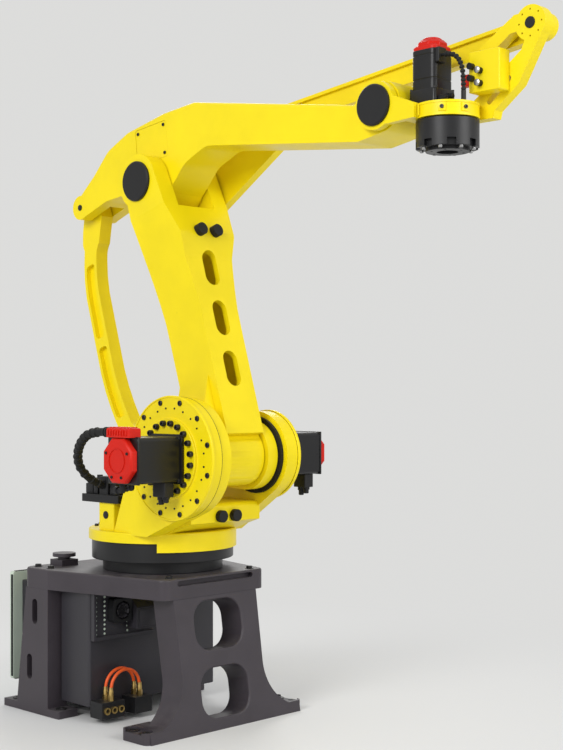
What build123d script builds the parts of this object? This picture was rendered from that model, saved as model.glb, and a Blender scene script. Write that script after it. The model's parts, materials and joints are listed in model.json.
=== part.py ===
"""Four-axis palletising robot arm on a cast pedestal, drawn at rest.

X points forward along the arm, Y to the far side, Z up. The turning axis is
the Z axis and the floor is Z = 0. All lengths are in millimetres.
"""
import math
import os

from build123d import *

os.makedirs("parts", exist_ok=True)

# Running clearances
RUN = 0.3
GAP = 6.0

# Pivot layout
SHOULDER_X = 410.0
SHOULDER_Z = 1160.0
LOWER_LEN = 1250.0
LOWER_LEAN = 17.0
UPPER_LEN = 1330.0
UPPER_TILT = 6.5
LEVER_LEN = 525.0
LEVEL_X = 545.0
LEVEL_Z = 250.0
REAR_LEVEL = 260.0
TOOL_OFFSET = 240.0

# Pedestal slab
SLAB_TOP = 648.0
SLAB_T = 88.0
SLAB_FRONT_X = 352.0
SLAB_FRONT_Y = 292.0
SLAB_REAR_X = -460.0
SLAB_CORNER = 45.0
SLAB_EDGE = 10.0
SLAB_BORE = 166.0
SLIT_W = 440.0
SLIT_H = 22.0
SLIT_D = 26.0
SLIT_DROP = 22.0

# Front leg
LEG_FACE_X = 439.0
LEG_SLOPE = 9.1
LEG_T = 130.0
LEG_HALF = 244.0
LEG_WAIST = 236.0
LEG_EDGE = 8.0
FLARE_TOP = 250.0
FOOT_HALF = 455.0
FOOT_TOE = 20.0
FOOT_RUN = 83.0
FOOT_PAD = 170.0
FOOT_R = 28.0
FOOT_H = 48.0
FOOT_X0 = 262.0
FOOT_X1 = 432.0
WINDOW_W = 272.0
WINDOW_H = 210.0
WINDOW_R = 80.0
WINDOW_LOW_Z = 156.0
WINDOW_HIGH_Z = 442.0
ANCHOR_R = 13.0
ANCHOR_PITCH = 80.0
ANCHOR_INSET = 30.0
POCKET_D = 10.0
POCKET_W = 64.0

# Rear legs
COLUMN_FRONT_X = -275.0
COLUMN_TOP_X = -438.0
COLUMN_FOOT_X = -508.0
COLUMN_TOE_X = -609.0
COLUMN_TAB_X = -195.0
COLUMN_Y = 432.0
COLUMN_W = 105.0
COLUMN_FOOT_H = 34.0
COLUMN_EDGE = 8.0
COLUMN_SLOT_L = 112.0
COLUMN_SLOT_W = 38.0
COLUMN_SLOT_HIGH = (-372.0, 455.0)
COLUMN_SLOT_LOW = (-412.0, 205.0)
TOE_ANCHOR = 49.0
TAB_ANCHOR = 40.0
REAR_ANCHOR_Y = 388.0

# Controller
CABINET_FRONT_X = -60.0
CABINET_REAR_X = -638.0
CABINET_Y = 318.0
CABINET_WIDE_Y = 368.0
CABINET_STEP_X = -268.0
CABINET_Z0 = 66.0
CABINET_R = 12.0
DOOR_T = 26.0
DOOR_Y = 365.0
DOOR_R = 14.0
DOOR_Z0 = 104.0
DOOR_Z1 = 602.0
PANEL_T = 10.0
PANEL_Y0 = -360.0
PANEL_Y1 = -20.0
PANEL_Z0 = 352.0
PANEL_LIP = 14.0
FAN_Y = -225.0
FAN_Z = 478.0
FAN_SQ = 104.0
FAN_D = 46.0
BOX_Y = -108.0
BOX_Z = 455.0
BOX_W = 118.0
BOX_H = 128.0
BOX_D = 70.0

# Air line
MANIFOLD_Y = -300.0
MANIFOLD_W = 126.0
MANIFOLD_D = 84.0
MANIFOLD_Z0 = 22.0
MANIFOLD_H = 72.0
VALVE_Y = -140.0
VALVE_W = 96.0
VALVE_D = 96.0
HOSE_R = 7.0
HOSE_BENDS = 6
HOSE_PITCH = 38.0
HOSE_X = -14.0
FITTING_R = 13.0
FITTING_H = 24.0

# Turning ring and turntable plate
RING_FLANGE_R = 268.0
RING_FLANGE_T = 52.0
RING_R = 316.0
RING_BORE = 206.0
PLATE_R = 330.0
PLATE_Z0 = 786.0
PLATE_Z1 = 831.0
PLATE_EDGE = 8.0
SKIRT_Z0 = 748.0
SKIRT_T = 8.0
STOP_POST_X = -372.0
STOP_POST_Y = -270.0
STOP_POST_SQ = 90.0
STOP_POST_H = 28.0
STOP_STEM_R = 28.0
STOP_STEM_H = 12.0
STOP_HEAD_R = 52.0
STOP_HEAD_H = 16.0

# Shoulder casting
NEAR_Y0 = -311.0
NEAR_Y1 = -196.0
NEAR_R = 260.0
NEAR_STEP = 8.0
NEAR_STEP_Y = -255.0
NEAR_DISC_T = 14.0
NEAR_BOSS_R = 166.0
NEAR_BOSS_T = 12.0
NEAR_FOOT_X0 = 20.0
NEAR_FOOT_X1 = 240.0
FAR_Y0 = 186.0
FAR_Y1 = 266.0
FAR_R = 196.0
FAR_DISC_T = 14.0
FAR_FOOT_X0 = -20.0
FAR_FOOT_X1 = 250.0
DISC_STEP = 6.0
FOOT_SINK = 10.0
SEAL_R = 168.0
SEAL_BORE = 118.0
SEAL_T = 12.0
SHAFT_R = 70.0
WEB_FACE = 10.0
WEB_TOP_Z = 960.0
WEB_LOW_Z = 880.0
WEB_REAR_X = 150.0
WEB_R = 24.0
LUG_R = 58.0
LUG_FOOT_X0 = -60.0
LUG_FOOT_X1 = 120.0
STOP_R = 26.0
STOP_T = 26.0
STOP_Y = 41.0
STOP_Z = 905.0

# Shoulder motors
MOTOR_SQ = 186.0
MOTOR_R = 16.0
NEAR_MOTOR_LEN = 238.0
FAR_MOTOR_LEN = 238.0
MOTOR_CAP_LEN = 32.0
MOTOR_CAP_INSET = 3.0
MOTOR_CAP_CUT = 52.0
MOTOR_CAP_EDGE = 8.0
COVER_X0 = -70.0
COVER_X1 = 76.0
COVER_H = 38.0
COVER_LEN = 66.0
COVER_R = 8.0
PLUG_R = 19.0
PLUG_LEN = 46.0
DROP_W = 74.0
DROP_D = 56.0
DROP_H = 60.0
DROP_X = 35.0
POST_X = -42.0
POST_Y = -258.0
POST_W = 104.0
POST_D = 64.0
POST_H = 119.0
POST_HOLE_R = 14.0
POST_HOLE_Z = 66.0
TERMINAL_X0 = -205.0
TERMINAL_X1 = 50.0
TERMINAL_Y0 = -300.0
TERMINAL_Y1 = -216.0
TERMINAL_H = 34.0
SOCKET_X = -68.0
SOCKET_W = 60.0
SOCKET_D = 56.0
SOCKET_H = 80.0
CABLE_R = 17.0
CABLE_VIA = (
    (194.0, -560.0, 1272.0),
    (74.0, -520.0, 1220.0),
    (-10.0, -470.0, 1161.0),
    (-58.0, -420.0, 1106.0),
    (-70.0, -352.0, 1050.0),
)

# Lower arm
HUB_R = 130.0
HUB_Y0 = -188.0
HUB_Y1 = 107.0
BODY_HALF = 107.0
BODY_FRONT = 150.0
BODY_REAR = -80.0
BODY_FOOT = 60.0
BODY_HEEL = 10.0
BODY_WAIST = 300.0
HIP_TOP = 330.0
HIP_SIDE = 150.0
HIP_RUN = 190.0
SADDLE_X = -10.0
SADDLE_DROP = 300.0
HEEL_DROP = 435.0
HEEL_X = -125.0
FLARE_TOP_DROP = 150.0
FLARE_LOW = 750.0
EAR_OUT = 188.0
EAR_IN = 106.0
EAR_R = 118.0
EAR_BULGE = 176.0
EAR_BULGE_DROP = 300.0
BULGE_DROP = 400.0
EAR_KNEE = 142.0
EAR_KNEE_DROP = 160.0
EAR_REAR = -90.0
EAR_TOP_DROP = 70.0
EAR_BEND = 60.0
SLOT_W = 80.0
SLOT_L = 158.0
SLOT_FIRST = 347.0
SLOT_LAST = 447.0
HOLLOW_LOW = 230.0
HOLLOW_TOP = 885.0
HOLLOW_REAR = -30.0
HOLLOW_WALL = 26.0
ELBOW_SHAFT_R = 55.0
SHAFT_END = 8.0
ELBOW_CAP_R = 87.0
CAP_T = 14.0
CAP_EDGE = 5.0
PAD_R = 27.0
PAD_T = 50.0
PAD_Y = 45.0
PAD_DROP = 285.0

# Upper arm
ARM_HALF = 100.0
ARM_EDGE = 14.0
ARM_BEND = 120.0
HUMP_X0 = -408.0
HUMP_Y0 = 132.0
HUMP_X1 = -300.0
HUMP_Y1 = 218.0
HUMP_X2 = -150.0
HUMP_Y2 = 268.0
HUMP_X3 = 100.0
HUMP_Y3 = 292.0
BROW_X = 300.0
BROW_Y = 290.0
NOSE_BACK = 125.0
NOSE_TOP = 40.0
NOSE_LOW = 105.0
THROAT_X = 363.0
THROAT_Y = 84.0
CHIN_X = 220.0
CHIN_Y = 40.0
JAW_X = 100.0
JAW_Y = -66.0
LEVER_KNEE = -330.0
LEVER_LOW = 10.0
ELBOW_HUB_R = 120.0
EYE_R = 56.0
CHEEK_IN = 42.0
CLEVIS_LEN = 150.0
PIN_R = 34.0
PIN_INSET = 20.0
WRIST_PIN_R = 42.0
WRIST_R = 98.0
COVER_POCKET = 6.0
COVER_PLATE_T = 5.0
COVER_SEAM = 1.5
COVER_PLATE_X0 = -90.0
COVER_PLATE_X1 = 120.0
COVER_PLATE_Y0 = 98.0
COVER_PLATE_Y1 = 258.0

# Drive crank and drive link
LINK_HALF = 33.0
LINK_D = 96.0
LINK_BOW = 112.0
LINK_BEND = 70.0
LINK_KNEE_IN = 190.0
LINK_KNEE_OUT = 150.0
LINK_NECK = 60.0
LINK_TUCK = 4.0
LINK_WEB = 18.0
LINK_FLANGE = 17.0
LINK_RIB = 45.0
LINK_PANEL_END = 250.0
LINK_PANEL_R = 20.0
CRANK_Y0 = 112.0
CRANK_Y1 = 168.0
CRANK_HUB_R = 150.0
CRANK_EYE_R = 72.0
PIN_HEAD_R = 46.0
PIN_HEAD_T = 12.0

# Levelling linkage
LEVEL_LINK_Y0 = 142.0
LEVEL_LINK_Y1 = 190.0
LEVEL_LINK_D = 90.0
LEVEL_EYE = 6.0
LEVEL_FLANGE = 14.0
LEVEL_POCKET = 14.0
LEVEL_POCKET_END = 90.0
ROCKER_Y0 = 200.0
ROCKER_Y1 = 244.0
ROCKER_HUB_R = 150.0
ROCKER_FRONT_R = 66.0
ROCKER_REAR_R = 56.0
LOW_LINK_Y0 = 282.0
LOW_LINK_Y1 = 318.0
LOW_LINK_D = 70.0
LOW_LINK_EYE = 12.0
LEVEL_PIN_R = 28.0
PIN_END = 6.0

# Wrist
TOOL_R = 117.0
FLANGE_DROP = 76.0
TOOL_H = 100.0
TOOL_RING_R = 81.0
TOOL_RING_H = 12.0
TOOL_BORE_R = 40.0
TOOL_BORE_D = 30.0
TOOL_PCD = 125.0
TOOL_HOLES = 6
TOOL_HOLE_R = 5.0
TOOL_SHAFT_R = 60.0
TOOL_SHAFT_H = 30.0
NOTCHES = 8
NOTCH_W = 34.0
NOTCH_D = 16.0
NOTCH_H = 24.0
HOUSING_RISE = -16.0
HOUSING_HALF = 96.0
HOUSING_BACK = 20.0
CHEEK_Y0 = 106.0
CHEEK_Y1 = 136.0
CHEEK_RUN = 190.0
CHEEK_INSET = 6.0
CHEEK_TOP = 60.0
CHEEK_LOW = 80.0
BRIDGE_X = 165.0
BRIDGE_W = 50.0
BRIDGE_INSET = 5.0
WRIST_CAP_R = 78.0
WRIST_MOTOR_DX = 168.0
WRIST_MOTOR_SQ = 112.0
WRIST_MOTOR_R = 12.0
WRIST_MOTOR_H = 210.0
WRIST_BASE = 6.0
WRIST_BASE_H = 62.0
WRIST_CAP_H = 40.0
WRIST_CAP_CUT = 30.0
WRIST_CAP_EDGE = 14.0
BRACKET_Y0 = 84.0
BRACKET_Y1 = 134.0
BRACKET_EYE_R = 64.0
BRACKET_SLOT_W = 24.0
BRACKET_SLOT_L = 134.0
BRACKET_SLOT_TURN = 40.0
BRACKET_SLOT_DX = -136.0
BRACKET_SLOT_DZ = -221.0
BRACKET_BRANCH = (
    (-261.0, -255.0),
    (-37.0, -90.0),
    (0.0, 0.0),
    (58.0, -24.0),
    (-50.0, -212.0),
    (-154.0, -292.0),
    (-161.0, -320.0),
    (-261.0, -320.0),
)
BRACKET_BAR = (
    (-227.0, -60.0),
    (-69.0, 39.0),
    (0.0, 40.0),
    (0.0, -20.0),
    (-85.0, -25.0),
    (-161.0, -77.0),
)
EYE_HOLES = 8
EYE_HOLE_R = 3.5
EYE_HOLE_IN = 16.0
CONNECTOR_X = 149.5
CONNECTOR_W = 135.0
CONNECTOR_Y = 20.0
CONNECTOR_H = 149.0
CONNECTOR_RISE = 108.6
CONNECTOR_R = 6.0
PORT_R = 12.0
PORT_LEN = 20.0
PORT_OFFSETS = ((-52.0, 21.0), (-16.0, 2.0), (-52.0, -23.0), (-16.0, -44.0))
WRIST_PLUG_W = 46.0
WRIST_PLUG_D = 16.0
WRIST_PLUG_H = 56.0
WRIST_CABLE_R = 6.0
LOOP_Y = -30.0
LOOP_RUNS = ((0.0, 37.0), (30.0, 37.0), (60.0, 37.0), (80.0, 50.0), (90.0, 45.0))
GLAND_R = 10.0

# Worked-out places
SIN2 = math.sin(math.radians(LOWER_LEAN))
COS2 = math.cos(math.radians(LOWER_LEAN))
SIN3 = math.sin(math.radians(UPPER_TILT))
COS3 = math.cos(math.radians(UPPER_TILT))
LEG_SIN = math.sin(math.radians(LEG_SLOPE))
LEG_COS = math.cos(math.radians(LEG_SLOPE))
ELBOW_X = SHOULDER_X - LOWER_LEN * SIN2
ELBOW_Z = SHOULDER_Z + LOWER_LEN * COS2
WRIST_X = ELBOW_X + UPPER_LEN * COS3
WRIST_Z = ELBOW_Z + UPPER_LEN * SIN3
CRANK_X = SHOULDER_X - LEVER_LEN * COS3
CRANK_Z = SHOULDER_Z - LEVER_LEN * SIN3
TOOL_X = WRIST_X + TOOL_OFFSET
TOOL_Z1 = WRIST_Z - FLANGE_DROP
TOOL_Z0 = TOOL_Z1 - TOOL_H
HOUSING_Z0 = TOOL_Z1 + GAP
HOUSING_Z1 = WRIST_Z + HOUSING_RISE
LEVEL_PIN_X = WRIST_X + LEVEL_X
LEVEL_PIN_Z = WRIST_Z + LEVEL_Z
SLAB_BOT = SLAB_TOP - SLAB_T
NEAR_MOTOR_Y = NEAR_Y0 - NEAR_BOSS_T
NEAR_CAP_Y = NEAR_MOTOR_Y - NEAR_MOTOR_LEN
FAR_CAP_Y = FAR_Y1 + FAR_MOTOR_LEN
MOTOR_TOP = SHOULDER_Z + MOTOR_SQ / 2
LUG_T = LOW_LINK_Y0 - GAP - FAR_Y0
BRACKET_SLOT = (LEVEL_PIN_X + BRACKET_SLOT_DX, LEVEL_PIN_Z + BRACKET_SLOT_DZ)


def side(y):
    """Sketch plane at a given Y, local axes X and Z, facing the near side."""
    return Plane(origin=(0, y, 0), x_dir=(1, 0, 0), z_dir=(0, -1, 0))


def floor(z):
    """Level sketch plane at a given height."""
    return Plane(origin=(0, 0, z), x_dir=(1, 0, 0), z_dir=(0, 0, 1))


def low_plane(y):
    """Plane of the lower arm: local x forward of the arm, local y along it."""
    return Plane(origin=(SHOULDER_X, y, SHOULDER_Z), x_dir=(COS2, 0, SIN2), z_dir=(0, -1, 0))


def up_plane(y):
    """Plane of the upper arm: local x along the arm, local y above it."""
    return Plane(origin=(ELBOW_X, y, ELBOW_Z), x_dir=(COS3, 0, SIN3), z_dir=(0, -1, 0))


def low_front(out):
    """Plane across the lower arm, a given distance forward of its centre line."""
    place = (SHOULDER_X + out * COS2, 0, SHOULDER_Z + out * SIN2)
    return Plane(origin=place, x_dir=(0, 1, 0), z_dir=(COS2, 0, SIN2))


def bend_radii(points):
    """Largest arcs that the runs of a cord leave room for, one at each corner."""
    radii = []
    for before, corner, after in zip(points, points[1:], points[2:]):
        run_in = Vector(*corner) - Vector(*before)
        run_out = Vector(*after) - Vector(*corner)
        turn = math.radians(run_in.get_angle(run_out))
        radii.append(0.45 * min(run_in.length, run_out.length) / math.tan(turn / 2))
    return radii


# Pedestal
with BuildPart() as pedestal_slab:
    with BuildSketch(floor(SLAB_BOT)):
        with BuildLine():
            Polyline(
                (SLAB_FRONT_X, -SLAB_FRONT_Y),
                (SLAB_FRONT_X, SLAB_FRONT_Y),
                (COLUMN_FRONT_X, COLUMN_Y),
                (SLAB_REAR_X, COLUMN_Y),
                (SLAB_REAR_X, -COLUMN_Y),
                (COLUMN_FRONT_X, -COLUMN_Y),
                close=True,
            )
        make_face()
        fillet(vertices(), radius=SLAB_CORNER)
    extrude(amount=SLAB_T)
    fillet(edges().group_by(Axis.Z)[-1], radius=SLAB_EDGE)
    with BuildSketch(floor(SLAB_TOP)):
        Circle(SLAB_BORE)
    extrude(amount=-SLAB_T, mode=Mode.SUBTRACT)
    with BuildSketch(Plane(origin=(SLAB_FRONT_X, 0, 0), x_dir=(0, 1, 0), z_dir=(1, 0, 0))):
        with Locations((0, SLAB_TOP - SLIT_DROP)):
            SlotOverall(SLIT_W, SLIT_H)
    extrude(amount=-SLIT_D, mode=Mode.SUBTRACT)
pedestal_slab.part.label = "pedestal_slab"
export_step(pedestal_slab.part, "parts/pedestal_slab.step")

LEG_PLANE = Plane(origin=(LEG_FACE_X, 0, 0), x_dir=(0, 1, 0), z_dir=(LEG_COS, 0, LEG_SIN))
LEG_TOP = SLAB_BOT / LEG_COS + LEG_T
FOOT_X = (FOOT_X0 + FOOT_X1) / 2
ANCHOR_Y = FOOT_HALF - ANCHOR_INSET
FRONT_ANCHORS = [
    (FOOT_X + end * ANCHOR_PITCH / 2, hand * ANCHOR_Y)
    for end in (-1, 1)
    for hand in (-1, 1)
]
with BuildPart() as front_leg:
    with BuildSketch(LEG_PLANE):
        with BuildLine() as leg_half:
            Polyline(
                (0, -FOOT_H),
                (FOOT_HALF - FOOT_TOE, -FOOT_H),
                (FOOT_HALF - FOOT_TOE, FOOT_H),
                (FOOT_HALF - FOOT_RUN, FOOT_H),
            )
            TangentArc((LEG_WAIST, FLARE_TOP), (FOOT_HALF - FOOT_RUN, FOOT_H), tangent=(0, -1))
            Polyline((LEG_WAIST, FLARE_TOP), (LEG_HALF, LEG_TOP), (0, LEG_TOP))
            mirror(leg_half.line, about=Plane.YZ)
        make_face()
        with Locations((0, WINDOW_LOW_Z), (0, WINDOW_HIGH_Z)):
            RectangleRounded(WINDOW_W, WINDOW_H, WINDOW_R, mode=Mode.SUBTRACT)
    extrude(amount=-LEG_T)
    fillet(faces().filter_by(LEG_PLANE).sort_by(Axis.X)[-1].inner_wires().edges(), radius=LEG_EDGE)
    with BuildSketch(floor(0)):
        with Locations((FOOT_X, FOOT_PAD / 2 - FOOT_HALF), (FOOT_X, FOOT_HALF - FOOT_PAD / 2)):
            RectangleRounded(FOOT_X1 - FOOT_X0, FOOT_PAD, FOOT_R)
    extrude(amount=FOOT_H)
    with BuildSketch(floor(SLAB_BOT)):
        Rectangle(4 * FOOT_HALF, 4 * FOOT_HALF)
    extrude(amount=2 * LEG_T, mode=Mode.SUBTRACT)
    with BuildSketch(floor(0)):
        Rectangle(4 * FOOT_HALF, 4 * FOOT_HALF)
    extrude(amount=-2 * LEG_T, mode=Mode.SUBTRACT)
    with BuildSketch(floor(FOOT_H)):
        with Locations((FOOT_X, -ANCHOR_Y), (FOOT_X, ANCHOR_Y)):
            SlotOverall(ANCHOR_PITCH + POCKET_W, POCKET_W)
    extrude(amount=-POCKET_D, mode=Mode.SUBTRACT)
    with BuildSketch(floor(FOOT_H)):
        with Locations(*FRONT_ANCHORS):
            Circle(ANCHOR_R)
    extrude(amount=-FOOT_H, mode=Mode.SUBTRACT)
front_leg.part.label = "front_leg"
export_step(front_leg.part, "parts/front_leg.step")

REAR_ANCHORS = [(COLUMN_TOE_X + TOE_ANCHOR, -REAR_ANCHOR_Y), (COLUMN_TAB_X - TAB_ANCHOR, -REAR_ANCHOR_Y)]
with BuildPart() as rear_leg:
    with BuildSketch(side(-COLUMN_Y + COLUMN_W)):
        with BuildLine():
            Polyline(
                (COLUMN_FRONT_X, SLAB_BOT),
                (COLUMN_TOP_X, SLAB_BOT),
                (COLUMN_FOOT_X, COLUMN_FOOT_H),
                (COLUMN_TOE_X, COLUMN_FOOT_H),
                (COLUMN_TOE_X, 0),
                (COLUMN_TAB_X, 0),
                (COLUMN_TAB_X, COLUMN_FOOT_H),
                (COLUMN_FRONT_X, COLUMN_FOOT_H),
                close=True,
            )
        make_face()
        with Locations(COLUMN_SLOT_HIGH, COLUMN_SLOT_LOW):
            SlotOverall(COLUMN_SLOT_L, COLUMN_SLOT_W, rotation=90, mode=Mode.SUBTRACT)
    extrude(amount=COLUMN_W)
    fillet(edges().filter_by(Axis.Z).group_by(Axis.Y)[0].sort_by(Axis.X)[-1:], radius=COLUMN_EDGE)
    with BuildSketch(floor(COLUMN_FOOT_H)):
        with Locations(*REAR_ANCHORS):
            Circle(ANCHOR_R)
    extrude(amount=-COLUMN_FOOT_H, mode=Mode.SUBTRACT)
    mirror(about=Plane.XZ)
rear_leg.part.label = "rear_leg"
export_step(rear_leg.part, "parts/rear_leg.step")

# Controller
with BuildPart() as controller_cabinet:
    with BuildSketch(floor(CABINET_Z0)):
        with Locations(((CABINET_FRONT_X + CABINET_REAR_X) / 2, 0)):
            RectangleRounded(CABINET_FRONT_X - CABINET_REAR_X, 2 * CABINET_Y, CABINET_R)
        with Locations(((CABINET_FRONT_X + CABINET_STEP_X) / 2, 0)):
            RectangleRounded(CABINET_FRONT_X - CABINET_STEP_X, 2 * CABINET_WIDE_Y, CABINET_R)
    extrude(amount=SLAB_BOT - CABINET_Z0)
controller_cabinet.part.label = "controller_cabinet"
export_step(controller_cabinet.part, "parts/controller_cabinet.step")

with BuildPart() as controller_door:
    with BuildSketch(Plane(origin=(CABINET_REAR_X, 0, 0), x_dir=(0, -1, 0), z_dir=(-1, 0, 0))):
        with Locations((0, (DOOR_Z0 + DOOR_Z1) / 2)):
            RectangleRounded(2 * DOOR_Y, DOOR_Z1 - DOOR_Z0, DOOR_R)
    extrude(amount=DOOR_T)
controller_door.part.label = "controller_door"
export_step(controller_door.part, "parts/controller_door.step")

CABINET_FACE = Plane(origin=(CABINET_FRONT_X, 0, 0), x_dir=(0, 1, 0), z_dir=(1, 0, 0))
PANEL_FACE = CABINET_FACE.offset(PANEL_T)
with BuildPart() as vent_panel:
    with BuildSketch(CABINET_FACE):
        with Locations(((PANEL_Y0 + PANEL_Y1) / 2, (PANEL_Z0 + SLAB_BOT) / 2)):
            Rectangle(PANEL_Y1 - PANEL_Y0, SLAB_BOT - PANEL_Z0)
    extrude(amount=PANEL_T)
    with BuildSketch(PANEL_FACE):
        with Locations((PANEL_Y0 + PANEL_LIP / 2, (PANEL_Z0 + SLAB_BOT) / 2)):
            Rectangle(PANEL_LIP, SLAB_BOT - PANEL_Z0)
        with Locations(((PANEL_Y0 + PANEL_Y1) / 2, PANEL_Z0 + PANEL_LIP / 2)):
            Rectangle(PANEL_Y1 - PANEL_Y0, PANEL_LIP)
    extrude(amount=PANEL_LIP)
vent_panel.part.label = "vent_panel"
export_step(vent_panel.part, "parts/vent_panel.step")

with BuildPart() as fan_box:
    with BuildSketch(PANEL_FACE):
        with Locations((FAN_Y, FAN_Z)):
            RectangleRounded(FAN_SQ, FAN_SQ, PANEL_LIP)
    extrude(amount=FAN_D)
    with BuildSketch(PANEL_FACE.offset(FAN_D)):
        with Locations((FAN_Y, FAN_Z)):
            Circle(FAN_SQ / 2 - PANEL_T)
    extrude(amount=-FAN_D / 2, mode=Mode.SUBTRACT)
fan_box.part.label = "fan_box"
export_step(fan_box.part, "parts/fan_box.step")

with BuildPart() as junction_box:
    with BuildSketch(PANEL_FACE):
        with Locations((BOX_Y, BOX_Z)):
            Rectangle(BOX_W, BOX_H)
    extrude(amount=BOX_D)
    chamfer(faces().sort_by(Axis.X)[-1].edges().sort_by(Axis.Z)[-1], length=BOX_D / 2)
junction_box.part.label = "junction_box"
export_step(junction_box.part, "parts/junction_box.step")

# Air line
MANIFOLD_TOP = MANIFOLD_Z0 + MANIFOLD_H
HOSE_PLACES = (HOSE_X - HOSE_PITCH / 2, HOSE_X + HOSE_PITCH / 2)
with BuildPart() as air_manifold:
    with BuildSketch(CABINET_FACE):
        with Locations((MANIFOLD_Y, MANIFOLD_Z0 + MANIFOLD_H / 2)):
            Rectangle(MANIFOLD_W, MANIFOLD_H)
    extrude(amount=MANIFOLD_D)
air_manifold.part.label = "air_manifold"
export_step(air_manifold.part, "parts/air_manifold.step")

with BuildPart() as valve_block:
    with BuildSketch(CABINET_FACE):
        with Locations((VALVE_Y, MANIFOLD_Z0 + MANIFOLD_H / 2)):
            Rectangle(VALVE_W, MANIFOLD_H)
    extrude(amount=VALVE_D)
valve_block.part.label = "valve_block"
export_step(valve_block.part, "parts/valve_block.step")

with BuildPart() as hose_fittings:
    with BuildSketch(floor(MANIFOLD_TOP)):
        with Locations(*[(x, y) for x in HOSE_PLACES for y in (MANIFOLD_Y, VALVE_Y)]):
            RegularPolygon(FITTING_R, 6)
    extrude(amount=FITTING_H)
hose_fittings.part.label = "hose_fittings"
export_step(hose_fittings.part, "parts/hose_fittings.step")


def hose_route(x):
    """Arch of an air hose from the manifold over to the valve block, in equal runs."""
    steps = [math.pi * step / HOSE_BENDS for step in range(HOSE_BENDS + 1)]
    run = (VALVE_Y - MANIFOLD_Y) / sum(math.sin(turn) for turn in steps)
    route = [(x, MANIFOLD_Y, MANIFOLD_TOP + FITTING_H)]
    for turn in steps:
        _, y, z = route[-1]
        route.append((x, y + run * math.sin(turn), z + run * math.cos(turn)))
    return route


REAR_HOSE = hose_route(HOSE_PLACES[0])
with BuildPart() as rear_air_hose:
    with BuildLine() as rear_hose_line:
        FilletPolyline(*REAR_HOSE, radius=bend_radii(REAR_HOSE))
    with BuildSketch(Plane(origin=rear_hose_line.line @ 0, z_dir=rear_hose_line.line % 0)):
        Circle(HOSE_R)
    sweep()
rear_air_hose.part.label = "rear_air_hose"
export_step(rear_air_hose.part, "parts/rear_air_hose.step")

FRONT_HOSE = hose_route(HOSE_PLACES[1])
with BuildPart() as front_air_hose:
    with BuildLine() as front_hose_line:
        FilletPolyline(*FRONT_HOSE, radius=bend_radii(FRONT_HOSE))
    with BuildSketch(Plane(origin=front_hose_line.line @ 0, z_dir=front_hose_line.line % 0)):
        Circle(HOSE_R)
    sweep()
front_air_hose.part.label = "front_air_hose"
export_step(front_air_hose.part, "parts/front_air_hose.step")
print("air hose radii", [round(radius) for radius in bend_radii(FRONT_HOSE)])

# Turning ring
with BuildPart() as turning_ring:
    with BuildSketch(floor(SLAB_TOP)):
        Circle(RING_FLANGE_R)
        Circle(RING_BORE, mode=Mode.SUBTRACT)
    extrude(amount=RING_FLANGE_T)
    with BuildSketch(floor(SLAB_TOP + RING_FLANGE_T)):
        Circle(RING_R)
        Circle(RING_BORE, mode=Mode.SUBTRACT)
    extrude(amount=PLATE_Z0 - SLAB_TOP - RING_FLANGE_T)
turning_ring.part.label = "turning_ring"
export_step(turning_ring.part, "parts/turning_ring.step")

STOP_BASE = SLAB_TOP + STOP_POST_H
with BuildPart() as stop_bracket:
    with BuildSketch(floor(SLAB_TOP)):
        with Locations((STOP_POST_X, STOP_POST_Y)):
            Rectangle(STOP_POST_SQ, STOP_POST_SQ)
    extrude(amount=STOP_POST_H)
    with BuildSketch(floor(STOP_BASE)):
        with Locations((STOP_POST_X, STOP_POST_Y)):
            Circle(STOP_STEM_R)
    extrude(amount=STOP_STEM_H)
    with BuildSketch(floor(STOP_BASE + STOP_STEM_H)):
        with Locations((STOP_POST_X, STOP_POST_Y)):
            Circle(STOP_HEAD_R)
    extrude(amount=STOP_HEAD_H)
stop_bracket.part.label = "stop_bracket"
export_step(stop_bracket.part, "parts/stop_bracket.step")

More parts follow.
